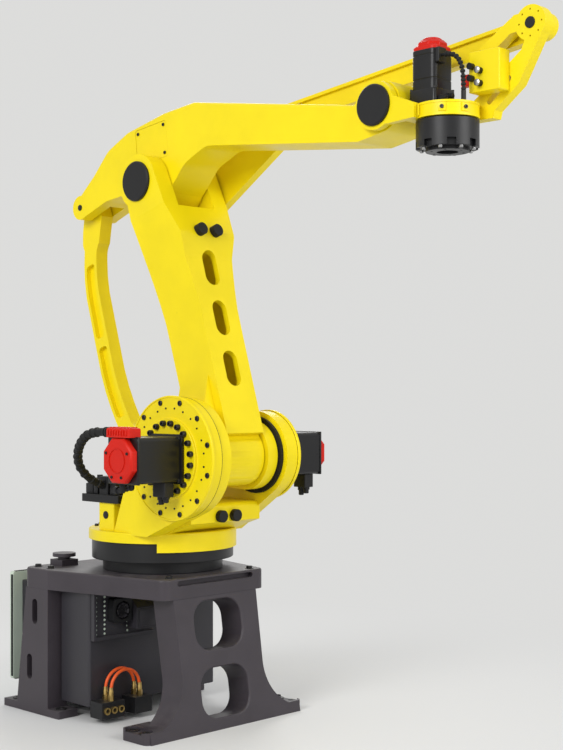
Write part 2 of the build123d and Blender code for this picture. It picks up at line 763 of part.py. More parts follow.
# Turntable
with BuildPart() as turntable:
    with BuildSketch(floor(PLATE_Z0)):
        Circle(PLATE_R)
    extrude(amount=PLATE_Z1 - PLATE_Z0)
    fillet(edges().group_by(Axis.Z)[-1], radius=PLATE_EDGE)
    with BuildSketch(floor(PLATE_Z0)):
        Circle(RING_BORE - GAP)
    extrude(amount=SLAB_TOP + GAP - PLATE_Z0)
    with BuildSketch(floor(SKIRT_Z0)):
        Circle(PLATE_R)
        Circle(PLATE_R - SKIRT_T, mode=Mode.SUBTRACT)
        with Locations(Rotation(0, 0, 45) * Pos(-PLATE_R, 0)):
            Rectangle(2 * PLATE_R, 4 * PLATE_R, mode=Mode.SUBTRACT)
    extrude(amount=PLATE_Z0 - SKIRT_Z0)
    with BuildSketch(side(NEAR_Y1)):
        with BuildLine():
            CenterArc((SHOULDER_X, SHOULDER_Z), NEAR_R - DISC_STEP - NEAR_STEP, 0, 360)
            Line((NEAR_FOOT_X0, PLATE_Z1 - FOOT_SINK), (NEAR_FOOT_X1, PLATE_Z1 - FOOT_SINK))
        make_hull()
    extrude(amount=NEAR_Y1 - NEAR_Y0 - NEAR_DISC_T)
    with BuildSketch(side(NEAR_STEP_Y)):
        with Locations((SHOULDER_X, SHOULDER_Z)):
            Circle(NEAR_R - DISC_STEP)
    extrude(amount=NEAR_STEP_Y - NEAR_Y0 - NEAR_DISC_T)
    with BuildSketch(side(FAR_Y1 - FAR_DISC_T)):
        with BuildLine():
            CenterArc((SHOULDER_X, SHOULDER_Z), FAR_R - DISC_STEP, 0, 360)
            Line((FAR_FOOT_X0, PLATE_Z1 - FOOT_SINK), (FAR_FOOT_X1, PLATE_Z1 - FOOT_SINK))
        make_hull()
    extrude(amount=FAR_Y1 - FAR_DISC_T - FAR_Y0)
    with BuildSketch(side(FAR_Y0 + FOOT_SINK)):
        with BuildLine():
            Polyline(
                (NEAR_FOOT_X0, PLATE_Z1 - FOOT_SINK),
                (NEAR_FOOT_X1, PLATE_Z1 - FOOT_SINK),
                (SHOULDER_X + WEB_FACE, WEB_LOW_Z),
                (SHOULDER_X + WEB_FACE, WEB_TOP_Z),
                (WEB_REAR_X, WEB_TOP_Z),
                close=True,
            )
        make_face()
        fillet(vertices().filter_by(lambda v: v.Y > WEB_LOW_Z + GAP), radius=WEB_R)
    extrude(amount=FAR_Y0 + 2 * FOOT_SINK - NEAR_Y1)
    with BuildSketch(side(FAR_Y1 - FAR_DISC_T)):
        with Locations((SHOULDER_X, SHOULDER_Z)):
            Circle(SHAFT_R)
    extrude(amount=FAR_Y1 - FAR_DISC_T - NEAR_Y1 + FOOT_SINK)
    with BuildSketch(side(FAR_Y0 + LUG_T)):
        with BuildLine():
            CenterArc((SHOULDER_X - REAR_LEVEL, SHOULDER_Z), LUG_R, 0, 360)
            Line((LUG_FOOT_X0, PLATE_Z1 - FOOT_SINK), (LUG_FOOT_X1, PLATE_Z1 - FOOT_SINK))
        make_hull()
    extrude(amount=LUG_T)
    with BuildSketch(side(LOW_LINK_Y1 + PIN_END)):
        with Locations((SHOULDER_X - REAR_LEVEL, SHOULDER_Z)):
            Circle(LEVEL_PIN_R)
    extrude(amount=LOW_LINK_Y1 + PIN_END - FAR_Y0)
turntable.part.label = "turntable"
export_step(turntable.part, "parts/turntable.step")

with BuildPart() as near_gear_disc:
    with BuildSketch(side(NEAR_Y0 + NEAR_DISC_T)):
        with Locations((SHOULDER_X, SHOULDER_Z)):
            Circle(NEAR_R)
    extrude(amount=NEAR_DISC_T)
    with BuildSketch(side(NEAR_Y0)):
        with Locations((SHOULDER_X, SHOULDER_Z)):
            Circle(NEAR_BOSS_R)
    extrude(amount=NEAR_BOSS_T)
near_gear_disc.part.label = "near_gear_disc"
export_step(near_gear_disc.part, "parts/near_gear_disc.step")

with BuildPart() as near_motor:
    with BuildSketch(side(NEAR_MOTOR_Y)):
        with Locations((SHOULDER_X, SHOULDER_Z)):
            RectangleRounded(MOTOR_SQ, MOTOR_SQ, MOTOR_R)
    extrude(amount=NEAR_MOTOR_LEN)
near_motor.part.label = "near_motor"
export_step(near_motor.part, "parts/near_motor.step")

MOTOR_CAP_SQ = MOTOR_SQ - 2 * MOTOR_CAP_INSET
with BuildPart() as near_motor_cap:
    with BuildSketch(side(NEAR_CAP_Y)):
        with Locations((SHOULDER_X, SHOULDER_Z)):
            Rectangle(MOTOR_CAP_SQ, MOTOR_CAP_SQ)
        chamfer(vertices(), length=MOTOR_CAP_CUT)
    extrude(amount=MOTOR_CAP_LEN)
    chamfer(faces().sort_by(Axis.Y)[0].edges(), length=MOTOR_CAP_EDGE)
near_motor_cap.part.label = "near_motor_cap"
export_step(near_motor_cap.part, "parts/near_motor_cap.step")

with BuildPart() as connector_cover:
    with BuildSketch(floor(MOTOR_TOP)):
        with Locations((SHOULDER_X + (COVER_X0 + COVER_X1) / 2, NEAR_CAP_Y + COVER_LEN / 2 - MOTOR_CAP_LEN)):
            RectangleRounded(COVER_X1 - COVER_X0, COVER_LEN, COVER_R)
    extrude(amount=COVER_H)
    fillet(edges().group_by(Axis.Z)[-1], radius=COVER_R)
connector_cover.part.label = "connector_cover"
export_step(connector_cover.part, "parts/connector_cover.step")

PLUG_PLACE = (SHOULDER_X + COVER_X0, NEAR_CAP_Y + COVER_LEN / 2 - MOTOR_CAP_LEN, MOTOR_TOP + COVER_H / 2)
with BuildPart() as cable_plug:
    with BuildSketch(Plane(origin=PLUG_PLACE, x_dir=(0, 1, 0), z_dir=(-1, 0, 0))):
        Circle(PLUG_R)
    extrude(amount=PLUG_LEN)
cable_plug.part.label = "cable_plug"
export_step(cable_plug.part, "parts/cable_plug.step")

TERMINAL_Z = PLATE_Z1 + POST_H
with BuildPart() as connector_post:
    with BuildSketch(floor(PLATE_Z1)):
        with Locations((POST_X, POST_Y)):
            RectangleRounded(POST_W, POST_D, COVER_R)
    extrude(amount=POST_H)
    with BuildSketch(side(POST_Y + POST_D)):
        with Locations((POST_X, PLATE_Z1 + POST_HOLE_Z)):
            Circle(POST_HOLE_R)
    extrude(amount=2 * POST_D, mode=Mode.SUBTRACT)
connector_post.part.label = "connector_post"
export_step(connector_post.part, "parts/connector_post.step")

SOCKET_Y = (TERMINAL_Y0 + TERMINAL_Y1) / 2
with BuildPart() as terminal_block:
    with BuildSketch(floor(TERMINAL_Z)):
        with Locations(((TERMINAL_X0 + TERMINAL_X1) / 2, SOCKET_Y)):
            RectangleRounded(TERMINAL_X1 - TERMINAL_X0, TERMINAL_Y1 - TERMINAL_Y0, COVER_R)
    extrude(amount=TERMINAL_H)
    with BuildSketch(floor(TERMINAL_Z + TERMINAL_H)):
        with Locations((SOCKET_X, SOCKET_Y)):
            RectangleRounded(SOCKET_W, SOCKET_D, COVER_R)
    extrude(amount=SOCKET_H)
terminal_block.part.label = "terminal_block"
export_step(terminal_block.part, "parts/terminal_block.step")

CABLE_START = (PLUG_PLACE[0] - PLUG_LEN, PLUG_PLACE[1], PLUG_PLACE[2])
CABLE_END = (SOCKET_X, SOCKET_Y - SOCKET_D / 2, TERMINAL_Z + TERMINAL_H + SOCKET_H / 2)
MOTOR_CABLE = [CABLE_START, *CABLE_VIA, CABLE_END]
with BuildPart() as motor_cable:
    with BuildLine() as motor_cable_line:
        FilletPolyline(*MOTOR_CABLE, radius=bend_radii(MOTOR_CABLE))
    with BuildSketch(Plane(origin=motor_cable_line.line @ 0, z_dir=motor_cable_line.line % 0)):
        Circle(CABLE_R)
    sweep()
    add(terminal_block.part, mode=Mode.SUBTRACT)
motor_cable.part.label = "motor_cable"
export_step(motor_cable.part, "parts/motor_cable.step")
print("motor cable radii", [round(radius) for radius in bend_radii(MOTOR_CABLE)])

with BuildPart() as far_gear_disc:
    with BuildSketch(side(FAR_Y1)):
        with Locations((SHOULDER_X, SHOULDER_Z)):
            Circle(FAR_R)
    extrude(amount=FAR_DISC_T)
far_gear_disc.part.label = "far_gear_disc"
export_step(far_gear_disc.part, "parts/far_gear_disc.step")

with BuildPart() as far_seal_ring:
    with BuildSketch(side(FAR_Y0)):
        with Locations((SHOULDER_X, SHOULDER_Z)):
            Circle(SEAL_R)
            Circle(SEAL_BORE, mode=Mode.SUBTRACT)
    extrude(amount=SEAL_T)
far_seal_ring.part.label = "far_seal_ring"
export_step(far_seal_ring.part, "parts/far_seal_ring.step")

with BuildPart() as far_motor:
    with BuildSketch(side(FAR_CAP_Y)):
        with Locations((SHOULDER_X, SHOULDER_Z)):
            RectangleRounded(MOTOR_SQ, MOTOR_SQ, MOTOR_R)
    extrude(amount=FAR_MOTOR_LEN)
far_motor.part.label = "far_motor"
export_step(far_motor.part, "parts/far_motor.step")

with BuildPart() as far_motor_cap:
    with BuildSketch(side(FAR_CAP_Y + MOTOR_CAP_LEN)):
        with Locations((SHOULDER_X, SHOULDER_Z)):
            Rectangle(MOTOR_CAP_SQ, MOTOR_CAP_SQ)
        chamfer(vertices(), length=MOTOR_CAP_CUT)
    extrude(amount=MOTOR_CAP_LEN)
    chamfer(faces().sort_by(Axis.Y)[-1].edges(), length=MOTOR_CAP_EDGE)
far_motor_cap.part.label = "far_motor_cap"
export_step(far_motor_cap.part, "parts/far_motor_cap.step")

MOTOR_LOW = SHOULDER_Z - MOTOR_SQ / 2
with BuildPart() as motor_sockets:
    with BuildSketch(floor(MOTOR_LOW)):
        with Locations(
            (SHOULDER_X + DROP_X, NEAR_MOTOR_Y - DROP_D),
            (SHOULDER_X + DROP_X, FAR_CAP_Y - DROP_D),
        ):
            RectangleRounded(DROP_W, DROP_D, COVER_R)
    extrude(amount=-DROP_H)
motor_sockets.part.label = "motor_sockets"
export_step(motor_sockets.part, "parts/motor_sockets.step")

with BuildPart() as turntable_stops:
    with BuildSketch(Plane(origin=(SHOULDER_X + WEB_FACE, 0, 0), x_dir=(0, 1, 0), z_dir=(1, 0, 0))):
        with Locations((-STOP_Y, STOP_Z), (STOP_Y, STOP_Z)):
            Circle(STOP_R)
    extrude(amount=STOP_T)
turntable_stops.part.label = "turntable_stops"
export_step(turntable_stops.part, "parts/turntable_stops.step")

# Lower arm
SLOT_PITCH = (LOWER_LEN - SLOT_FIRST - SLOT_LAST) / 2
SLOT_PLACES = [(0, SLOT_FIRST + step * SLOT_PITCH) for step in range(3)]
with BuildPart() as lower_arm:
    with BuildSketch(low_plane(EAR_OUT)):
        with BuildLine():
            Polyline(
                (BODY_REAR - BODY_HEEL, BODY_FOOT),
                (BODY_FRONT, BODY_FOOT),
                (BODY_FRONT, LOWER_LEN - BULGE_DROP),
                (EAR_BULGE, LOWER_LEN - EAR_BULGE_DROP),
                (EAR_KNEE, LOWER_LEN - EAR_KNEE_DROP),
                (EAR_R, LOWER_LEN),
                (-EAR_R, LOWER_LEN),
                (EAR_REAR, LOWER_LEN - EAR_TOP_DROP),
                (EAR_REAR, LOWER_LEN - EAR_BULGE_DROP),
                (BODY_REAR, BODY_WAIST),
                close=True,
            )
        make_face()
        fillet(
            vertices().filter_by(lambda v: LOWER_LEN - FLARE_LOW < v.Y < LOWER_LEN - EAR_BEND),
            radius=EAR_BEND,
        )
        with Locations((0, LOWER_LEN)):
            Circle(EAR_R)
    extrude(amount=2 * EAR_OUT)
    with BuildSketch(low_front(0)):
        with BuildLine():
            Polyline(
                (BODY_HALF, -HUB_R),
                (BODY_HALF, LOWER_LEN - FLARE_LOW),
                (EAR_OUT, LOWER_LEN - FLARE_TOP_DROP),
                (EAR_OUT + GAP, LOWER_LEN - FLARE_TOP_DROP),
                (EAR_OUT + GAP, -HUB_R),
                close=True,
            )
        make_face()
        mirror(about=Plane.YZ)
    extrude(amount=2 * EAR_BULGE, both=True, mode=Mode.SUBTRACT)
    with BuildSketch(low_plane(EAR_IN)):
        with BuildLine():
            Polyline(
                (EAR_KNEE, LOWER_LEN - EAR_KNEE_DROP),
                (SADDLE_X, LOWER_LEN - SADDLE_DROP),
                (HEEL_X, LOWER_LEN - HEEL_DROP),
                (-2 * EAR_R, LOWER_LEN - HEEL_DROP),
                (-2 * EAR_R, LOWER_LEN + 2 * EAR_R),
                (2 * EAR_R, LOWER_LEN + 2 * EAR_R),
                (2 * EAR_R, LOWER_LEN - EAR_KNEE_DROP),
                close=True,
            )
        make_face()
    extrude(amount=2 * EAR_IN, mode=Mode.SUBTRACT)
    with BuildSketch(side(HUB_Y1)):
        with Locations((SHOULDER_X, SHOULDER_Z)):
            Circle(HUB_R)
    extrude(amount=HUB_Y1 - HUB_Y0)
    with BuildSketch(low_front(BODY_REAR)):
        with BuildLine():
            Polyline(
                (-BODY_HALF, 0),
                (-BODY_HALF, HIP_TOP),
                (HUB_Y0, HIP_SIDE),
                (HUB_Y0, 0),
                close=True,
            )
        make_face()
    extrude(amount=HIP_RUN)
    with BuildSketch(side(HUB_Y1)):
        with Locations((SHOULDER_X, SHOULDER_Z)):
            Circle(SHAFT_R + RUN)
    extrude(amount=HUB_Y1 - HUB_Y0, mode=Mode.SUBTRACT)
    with BuildSketch(low_front(HOLLOW_REAR)):
        with Locations((0, (HOLLOW_LOW + HOLLOW_TOP) / 2)):
            RectangleRounded(2 * (BODY_HALF - HOLLOW_WALL), HOLLOW_TOP - HOLLOW_LOW, HOLLOW_WALL)
    extrude(amount=BODY_FRONT - HOLLOW_WALL - HOLLOW_REAR, mode=Mode.SUBTRACT)
    with BuildSketch(low_front(EAR_BULGE)):
        with Locations(*SLOT_PLACES):
            SlotOverall(SLOT_L, SLOT_W, rotation=90)
    extrude(amount=BODY_FRONT - EAR_BULGE - 2 * HOLLOW_WALL, mode=Mode.SUBTRACT)
    with BuildSketch(side(ROCKER_Y1 + SHAFT_END)):
        with Locations((ELBOW_X, ELBOW_Z)):
            Circle(ELBOW_SHAFT_R)
    extrude(amount=ROCKER_Y1 + SHAFT_END + EAR_OUT)
lower_arm.part.label = "lower_arm"
export_step(lower_arm.part, "parts/lower_arm.step")

with BuildPart() as elbow_cap:
    with BuildSketch(side(-EAR_OUT)):
        with Locations((ELBOW_X, ELBOW_Z)):
            Circle(ELBOW_CAP_R)
    extrude(amount=CAP_T)
    chamfer(faces().sort_by(Axis.Y)[0].edges(), length=CAP_EDGE)
elbow_cap.part.label = "elbow_cap"
export_step(elbow_cap.part, "parts/elbow_cap.step")

with BuildPart() as arm_stops:
    with BuildSketch(low_front(BODY_FRONT)):
        with Locations((-PAD_Y, LOWER_LEN - PAD_DROP), (PAD_Y, LOWER_LEN - PAD_DROP)):
            Circle(PAD_R)
    extrude(amount=PAD_T)
    add(lower_arm.part, mode=Mode.SUBTRACT)
arm_stops.part.label = "arm_stops"
export_step(arm_stops.part, "parts/arm_stops.step")

# Drive crank and drive link
with BuildPart() as drive_crank:
    with BuildSketch(side(CRANK_Y1)):
        with BuildLine():
            CenterArc((SHOULDER_X, SHOULDER_Z), CRANK_HUB_R, 0, 360)
            CenterArc((CRANK_X, CRANK_Z), CRANK_EYE_R, 0, 360)
        make_hull()
    extrude(amount=CRANK_Y1 - CRANK_Y0)
    with BuildSketch(side(CRANK_Y0)):
        with Locations((CRANK_X, CRANK_Z)):
            Circle(CRANK_EYE_R)
    extrude(amount=CRANK_Y0 - LINK_HALF - GAP)
    with BuildSketch(side(CRANK_Y1)):
        with Locations((SHOULDER_X, SHOULDER_Z)):
            Circle(SHAFT_R + RUN)
        with Locations((CRANK_X, CRANK_Z)):
            Circle(PIN_R + RUN)
    extrude(amount=2 * CRANK_Y1, mode=Mode.SUBTRACT)
drive_crank.part.label = "drive_crank"
export_step(drive_crank.part, "parts/drive_crank.step")

with BuildPart() as crank_pin:
    with BuildSketch(side(CRANK_Y1)):
        with Locations((CRANK_X, CRANK_Z)):
            Circle(PIN_R)
    extrude(amount=CRANK_Y1 + LINK_HALF + PIN_END)
    with BuildSketch(side(-LINK_HALF - PIN_END)):
        with Locations((CRANK_X, CRANK_Z)):
            Circle(PIN_HEAD_R)
    extrude(amount=PIN_HEAD_T)
crank_pin.part.label = "crank_pin"
export_step(crank_pin.part, "parts/crank_pin.step")

LINK_PLANE = Plane(origin=(CRANK_X, LINK_HALF, CRANK_Z), x_dir=(COS2, 0, SIN2), z_dir=(0, -1, 0))
LINK_PANEL = LOWER_LEN / 2 - LINK_PANEL_END - LINK_RIB / 2
LINK_PANELS = [(-LINK_BOW, LOWER_LEN / 2 + end * (LINK_PANEL + LINK_RIB) / 2) for end in (-1, 1)]
with BuildPart() as drive_link:
    with BuildSketch(LINK_PLANE):
        with BuildLine():
            Polyline(
                (EYE_R, 0),
                (EYE_R - LINK_TUCK, LINK_NECK),
                (LINK_D / 2 - LINK_BOW, LINK_KNEE_IN),
                (LINK_D / 2 - LINK_BOW, LOWER_LEN - LINK_KNEE_IN),
                (EYE_R - LINK_TUCK, LOWER_LEN - LINK_NECK),
                (EYE_R, LOWER_LEN),
                (-EYE_R, LOWER_LEN),
                (-LINK_BOW - LINK_D / 2, LOWER_LEN - LINK_KNEE_OUT),
                (-LINK_BOW - LINK_D / 2, LINK_KNEE_OUT),
                (-EYE_R, 0),
                close=True,
            )
        make_face()
        fillet(vertices().filter_by(lambda v: LINK_NECK < v.Y < LOWER_LEN - LINK_NECK), radius=LINK_BEND)
        with Locations((0, 0), (0, LOWER_LEN)):
            Circle(EYE_R)
        with Locations((0, 0), (0, LOWER_LEN)):
            Circle(PIN_R + RUN, mode=Mode.SUBTRACT)
    extrude(amount=2 * LINK_HALF)
    with BuildSketch(LINK_PLANE):
        with Locations(*LINK_PANELS):
            RectangleRounded(LINK_D - 2 * LINK_FLANGE, LINK_PANEL, LINK_PANEL_R)
    extrude(amount=LINK_HALF - LINK_WEB / 2, mode=Mode.SUBTRACT)
    with BuildSketch(LINK_PLANE.offset(2 * LINK_HALF)):
        with Locations(*LINK_PANELS):
            RectangleRounded(LINK_D - 2 * LINK_FLANGE, LINK_PANEL, LINK_PANEL_R)
    extrude(amount=LINK_WEB / 2 - LINK_HALF, mode=Mode.SUBTRACT)
drive_link.part.label = "drive_link"
export_step(drive_link.part, "parts/drive_link.step")

# Levelling linkage
with BuildPart() as level_rocker:
    with BuildSketch(side(ROCKER_Y1)):
        with BuildLine():
            CenterArc((ELBOW_X, ELBOW_Z), ROCKER_HUB_R, 0, 360)
            CenterArc((ELBOW_X + LEVEL_X, ELBOW_Z + LEVEL_Z), ROCKER_FRONT_R, 0, 360)
            CenterArc((ELBOW_X - REAR_LEVEL, ELBOW_Z), ROCKER_REAR_R, 0, 360)
        make_hull()
        with Locations((ELBOW_X, ELBOW_Z)):
            Circle(ELBOW_SHAFT_R + RUN, mode=Mode.SUBTRACT)
    extrude(amount=ROCKER_Y1 - ROCKER_Y0)
    with BuildSketch(side(ROCKER_Y0)):
        with Locations((ELBOW_X + LEVEL_X, ELBOW_Z + LEVEL_Z)):
            Circle(LEVEL_PIN_R)
    extrude(amount=ROCKER_Y0 - LEVEL_LINK_Y0 + PIN_END)
    with BuildSketch(side(LOW_LINK_Y1 + PIN_END)):
        with Locations((ELBOW_X - REAR_LEVEL, ELBOW_Z)):
            Circle(LEVEL_PIN_R)
    extrude(amount=LOW_LINK_Y1 + PIN_END - ROCKER_Y1)
level_rocker.part.label = "level_rocker"
export_step(level_rocker.part, "parts/level_rocker.step")

UP_LINK_PLANE = Plane(
    origin=(ELBOW_X + LEVEL_X, LEVEL_LINK_Y1, ELBOW_Z + LEVEL_Z),
    x_dir=(COS3, 0, SIN3),
    z_dir=(0, -1, 0),
)
UP_LINK_POCKET = UPPER_LEN - 2 * LEVEL_POCKET_END
with BuildPart() as upper_level_link:
    with BuildSketch(UP_LINK_PLANE):
        with Locations((UPPER_LEN / 2, 0)):
            Rectangle(UPPER_LEN, LEVEL_LINK_D)
        with Locations((0, 0), (UPPER_LEN, 0)):
            Circle(LEVEL_LINK_D / 2 + LEVEL_EYE)
        with Locations((0, 0), (UPPER_LEN, 0)):
            Circle(LEVEL_PIN_R + RUN, mode=Mode.SUBTRACT)
    extrude(amount=LEVEL_LINK_Y1 - LEVEL_LINK_Y0)
    with BuildSketch(UP_LINK_PLANE):
        with Locations((UPPER_LEN / 2, 0)):
            RectangleRounded(UP_LINK_POCKET, LEVEL_LINK_D - 2 * LEVEL_FLANGE, LEVEL_FLANGE)
    extrude(amount=LEVEL_POCKET, mode=Mode.SUBTRACT)
    with BuildSketch(UP_LINK_PLANE.offset(LEVEL_LINK_Y1 - LEVEL_LINK_Y0)):
        with Locations((UPPER_LEN / 2, 0)):
            RectangleRounded(UP_LINK_POCKET, LEVEL_LINK_D - 2 * LEVEL_FLANGE, LEVEL_FLANGE)
    extrude(amount=-LEVEL_POCKET, mode=Mode.SUBTRACT)
upper_level_link.part.label = "upper_level_link"
export_step(upper_level_link.part, "parts/upper_level_link.step")

LOW_LINK_PLANE = Plane(
    origin=(SHOULDER_X - REAR_LEVEL, LOW_LINK_Y1, SHOULDER_Z),
    x_dir=(COS2, 0, SIN2),
    z_dir=(0, -1, 0),
)
with BuildPart() as lower_level_link:
    with BuildSketch(LOW_LINK_PLANE):
        with Locations((0, LOWER_LEN / 2)):
            Rectangle(LOW_LINK_D, LOWER_LEN)
        with Locations((0, 0), (0, LOWER_LEN)):
            Circle(LOW_LINK_D / 2 + LOW_LINK_EYE)
        with Locations((0, 0), (0, LOWER_LEN)):
            Circle(LEVEL_PIN_R + RUN, mode=Mode.SUBTRACT)
    extrude(amount=LOW_LINK_Y1 - LOW_LINK_Y0)
lower_level_link.part.label = "lower_level_link"
export_step(lower_level_link.part, "parts/lower_level_link.step")

# Upper arm
COVER_PLACE = ((COVER_PLATE_X0 + COVER_PLATE_X1) / 2, (COVER_PLATE_Y0 + COVER_PLATE_Y1) / 2)
COVER_LONG = COVER_PLATE_X1 - COVER_PLATE_X0
COVER_HIGH = COVER_PLATE_Y1 - COVER_PLATE_Y0
with BuildPart() as upper_arm:
    with BuildSketch(up_plane(ARM_HALF)):
        with BuildLine():
            Polyline(
                (-LEVER_LEN, EYE_R),
                (HUMP_X0, HUMP_Y0),
                (HUMP_X1, HUMP_Y1),
                (HUMP_X2, HUMP_Y2),
                (HUMP_X3, HUMP_Y3),
                (BROW_X, BROW_Y),
                (UPPER_LEN - NOSE_BACK, NOSE_TOP),
                (UPPER_LEN, WRIST_R),
                (UPPER_LEN, -WRIST_R),
                (UPPER_LEN - NOSE_BACK, -NOSE_LOW),
                (THROAT_X, THROAT_Y),
                (CHIN_X, CHIN_Y),
                (JAW_X, JAW_Y),
                (0, -ELBOW_HUB_R),
                (-ELBOW_HUB_R, -LEVER_LOW),
                (LEVER_KNEE, -LEVER_LOW),
                (-LEVER_LEN, -EYE_R),
                close=True,
            )
        make_face()
        fillet(
            vertices().filter_by(lambda v: -LEVER_LEN < v.X < UPPER_LEN - 2 * NOSE_BACK and abs(v.X) > 1),
            radius=ARM_BEND,
        )
        with Locations((0, 0)):
            Circle(ELBOW_HUB_R)
        with Locations((UPPER_LEN, 0)):
            Circle(WRIST_R)
        with Locations((-LEVER_LEN, 0)):
            Circle(EYE_R)
    extrude(amount=2 * ARM_HALF)
    top_edges = faces().filter_by(Axis.Y).edges().filter_by(
        lambda e: up_plane(0).to_local_coords(e.center()).Y > WRIST_R
    )
    fillet(top_edges, radius=ARM_EDGE)
    with BuildSketch(up_plane(CHEEK_IN)):
        with Locations((CLEVIS_LEN - LEVER_LEN - HUMP_Y3, 0)):
            Rectangle(2 * HUMP_Y3, 4 * HUMP_Y3)
    extrude(amount=2 * CHEEK_IN, mode=Mode.SUBTRACT)
    with BuildSketch(up_plane(ARM_HALF)):
        with Locations((0, 0)):
            Circle(ELBOW_SHAFT_R + RUN)
        with Locations((UPPER_LEN, 0)):
            Circle(WRIST_PIN_R + RUN)
    extrude(amount=2 * ARM_HALF, mode=Mode.SUBTRACT)
    with BuildSketch(up_plane(ARM_HALF - PIN_INSET)):
        with Locations((-LEVER_LEN, 0)):
            Circle(PIN_R)
    extrude(amount=2 * ARM_HALF - 2 * PIN_INSET)
    with BuildSketch(up_plane(-ARM_HALF)):
        with Locations(COVER_PLACE):
            RectangleRounded(COVER_LONG, COVER_HIGH, ARM_EDGE)
    extrude(amount=-COVER_POCKET, mode=Mode.SUBTRACT)
upper_arm.part.label = "upper_arm"
export_step(upper_arm.part, "parts/upper_arm.step")

with BuildPart() as arm_cover:
    with BuildSketch(up_plane(COVER_POCKET - ARM_HALF)):
        with Locations(COVER_PLACE):
            RectangleRounded(COVER_LONG - 2 * COVER_SEAM, COVER_HIGH - 2 * COVER_SEAM, ARM_EDGE - COVER_SEAM)
    extrude(amount=COVER_PLATE_T)
arm_cover.part.label = "arm_cover"
export_step(arm_cover.part, "parts/arm_cover.step")

# Wrist
HOUSING_H = HOUSING_Z1 - HOUSING_Z0
NECK_X = WRIST_X + WRIST_R + HOUSING_BACK
with BuildPart() as wrist_housing:
    with BuildSketch(floor(HOUSING_Z0)):
        with Locations((TOOL_X, 0)):
            Circle(TOOL_R)
        with Locations(((TOOL_X + NECK_X) / 2, 0)):
            Rectangle(TOOL_X - NECK_X, 2 * HOUSING_HALF)
    extrude(amount=HOUSING_H)
    with BuildSketch(side(CHEEK_Y1), side(-CHEEK_Y0)):
        with Locations((WRIST_X, WRIST_Z)):
            Circle(WRIST_R - CHEEK_INSET)
        with BuildLine():
            Polyline(
                (WRIST_X, WRIST_Z + CHEEK_TOP),
                (WRIST_X + CHEEK_RUN, HOUSING_Z1),
                (WRIST_X + CHEEK_RUN, HOUSING_Z0),
                (WRIST_X, WRIST_Z - CHEEK_LOW),
                close=True,
            )
        make_face()
    extrude(amount=CHEEK_Y1 - CHEEK_Y0)
    with BuildSketch(side(CHEEK_Y1)):
        with Locations((WRIST_X + BRIDGE_X, (HOUSING_Z1 + HOUSING_Z0) / 2)):
            Rectangle(BRIDGE_W, HOUSING_H - 2 * BRIDGE_INSET)
    extrude(amount=2 * CHEEK_Y1)
    with BuildSketch(side(CHEEK_Y1)):
        with Locations((WRIST_X, WRIST_Z)):
            Circle(WRIST_PIN_R)
    extrude(amount=2 * CHEEK_Y1)
    with BuildSketch(floor(HOUSING_Z0)):
        with Locations((TOOL_X, 0)):
            Circle(TOOL_SHAFT_R + RUN)
    extrude(amount=TOOL_SHAFT_H + GAP, mode=Mode.SUBTRACT)
wrist_housing.part.label = "wrist_housing"
export_step(wrist_housing.part, "parts/wrist_housing.step")

with BuildPart() as wrist_cap:
    with BuildSketch(side(-CHEEK_Y1)):
        with Locations((WRIST_X, WRIST_Z)):
            Circle(WRIST_CAP_R)
    extrude(amount=CAP_T)
    chamfer(faces().sort_by(Axis.Y)[0].edges(), length=CAP_EDGE)
wrist_cap.part.label = "wrist_cap"
export_step(wrist_cap.part, "parts/wrist_cap.step")

with BuildPart() as level_bracket:
    with BuildSketch(side(BRACKET_Y1)):
        with Locations((LEVEL_PIN_X, LEVEL_PIN_Z)):
            Circle(BRACKET_EYE_R)
        with BuildLine(Plane(origin=(LEVEL_PIN_X, LEVEL_PIN_Z, 0))):
            Polyline(*BRACKET_BRANCH, close=True)
        make_face()
        with BuildLine(Plane(origin=(LEVEL_PIN_X, LEVEL_PIN_Z, 0))):
            Polyline(*BRACKET_BAR, close=True)
        make_face()
    extrude(amount=BRACKET_Y1 - BRACKET_Y0)
    with BuildSketch(side(BRACKET_Y1)):
        with Locations(BRACKET_SLOT):
            SlotOverall(BRACKET_SLOT_L, BRACKET_SLOT_W, rotation=BRACKET_SLOT_TURN)
        with Locations((LEVEL_PIN_X, LEVEL_PIN_Z)):
            with PolarLocations(BRACKET_EYE_R - EYE_HOLE_IN, EYE_HOLES):
                Circle(EYE_HOLE_R)
    extrude(amount=BRACKET_Y1 - BRACKET_Y0, mode=Mode.SUBTRACT)
    with BuildSketch(side(LEVEL_LINK_Y1 + PIN_END)):
        with Locations((LEVEL_PIN_X, LEVEL_PIN_Z)):
            Circle(LEVEL_PIN_R)
    extrude(amount=LEVEL_LINK_Y1 + PIN_END - BRACKET_Y1)
    with BuildSketch(floor(HOUSING_Z0)):
        with Locations((TOOL_X, 0)):
            Circle(TOOL_R)
    extrude(amount=HOUSING_H, mode=Mode.SUBTRACT)
level_bracket.part.label = "level_bracket"
export_step(level_bracket.part, "parts/level_bracket.step")

MOTOR_X = WRIST_X + WRIST_MOTOR_DX
with BuildPart() as wrist_motor:
    with BuildSketch(floor(HOUSING_Z1)):
        with Locations((MOTOR_X, 0)):
            RectangleRounded(WRIST_MOTOR_SQ + 2 * WRIST_BASE, WRIST_MOTOR_SQ + 2 * WRIST_BASE, WRIST_MOTOR_R)
    extrude(amount=WRIST_BASE_H)
    with BuildSketch(floor(HOUSING_Z1 + WRIST_BASE_H)):
        with Locations((MOTOR_X, 0)):
            RectangleRounded(WRIST_MOTOR_SQ, WRIST_MOTOR_SQ, WRIST_MOTOR_R)
    extrude(amount=WRIST_MOTOR_H - WRIST_BASE_H)
wrist_motor.part.label = "wrist_motor"
export_step(wrist_motor.part, "parts/wrist_motor.step")

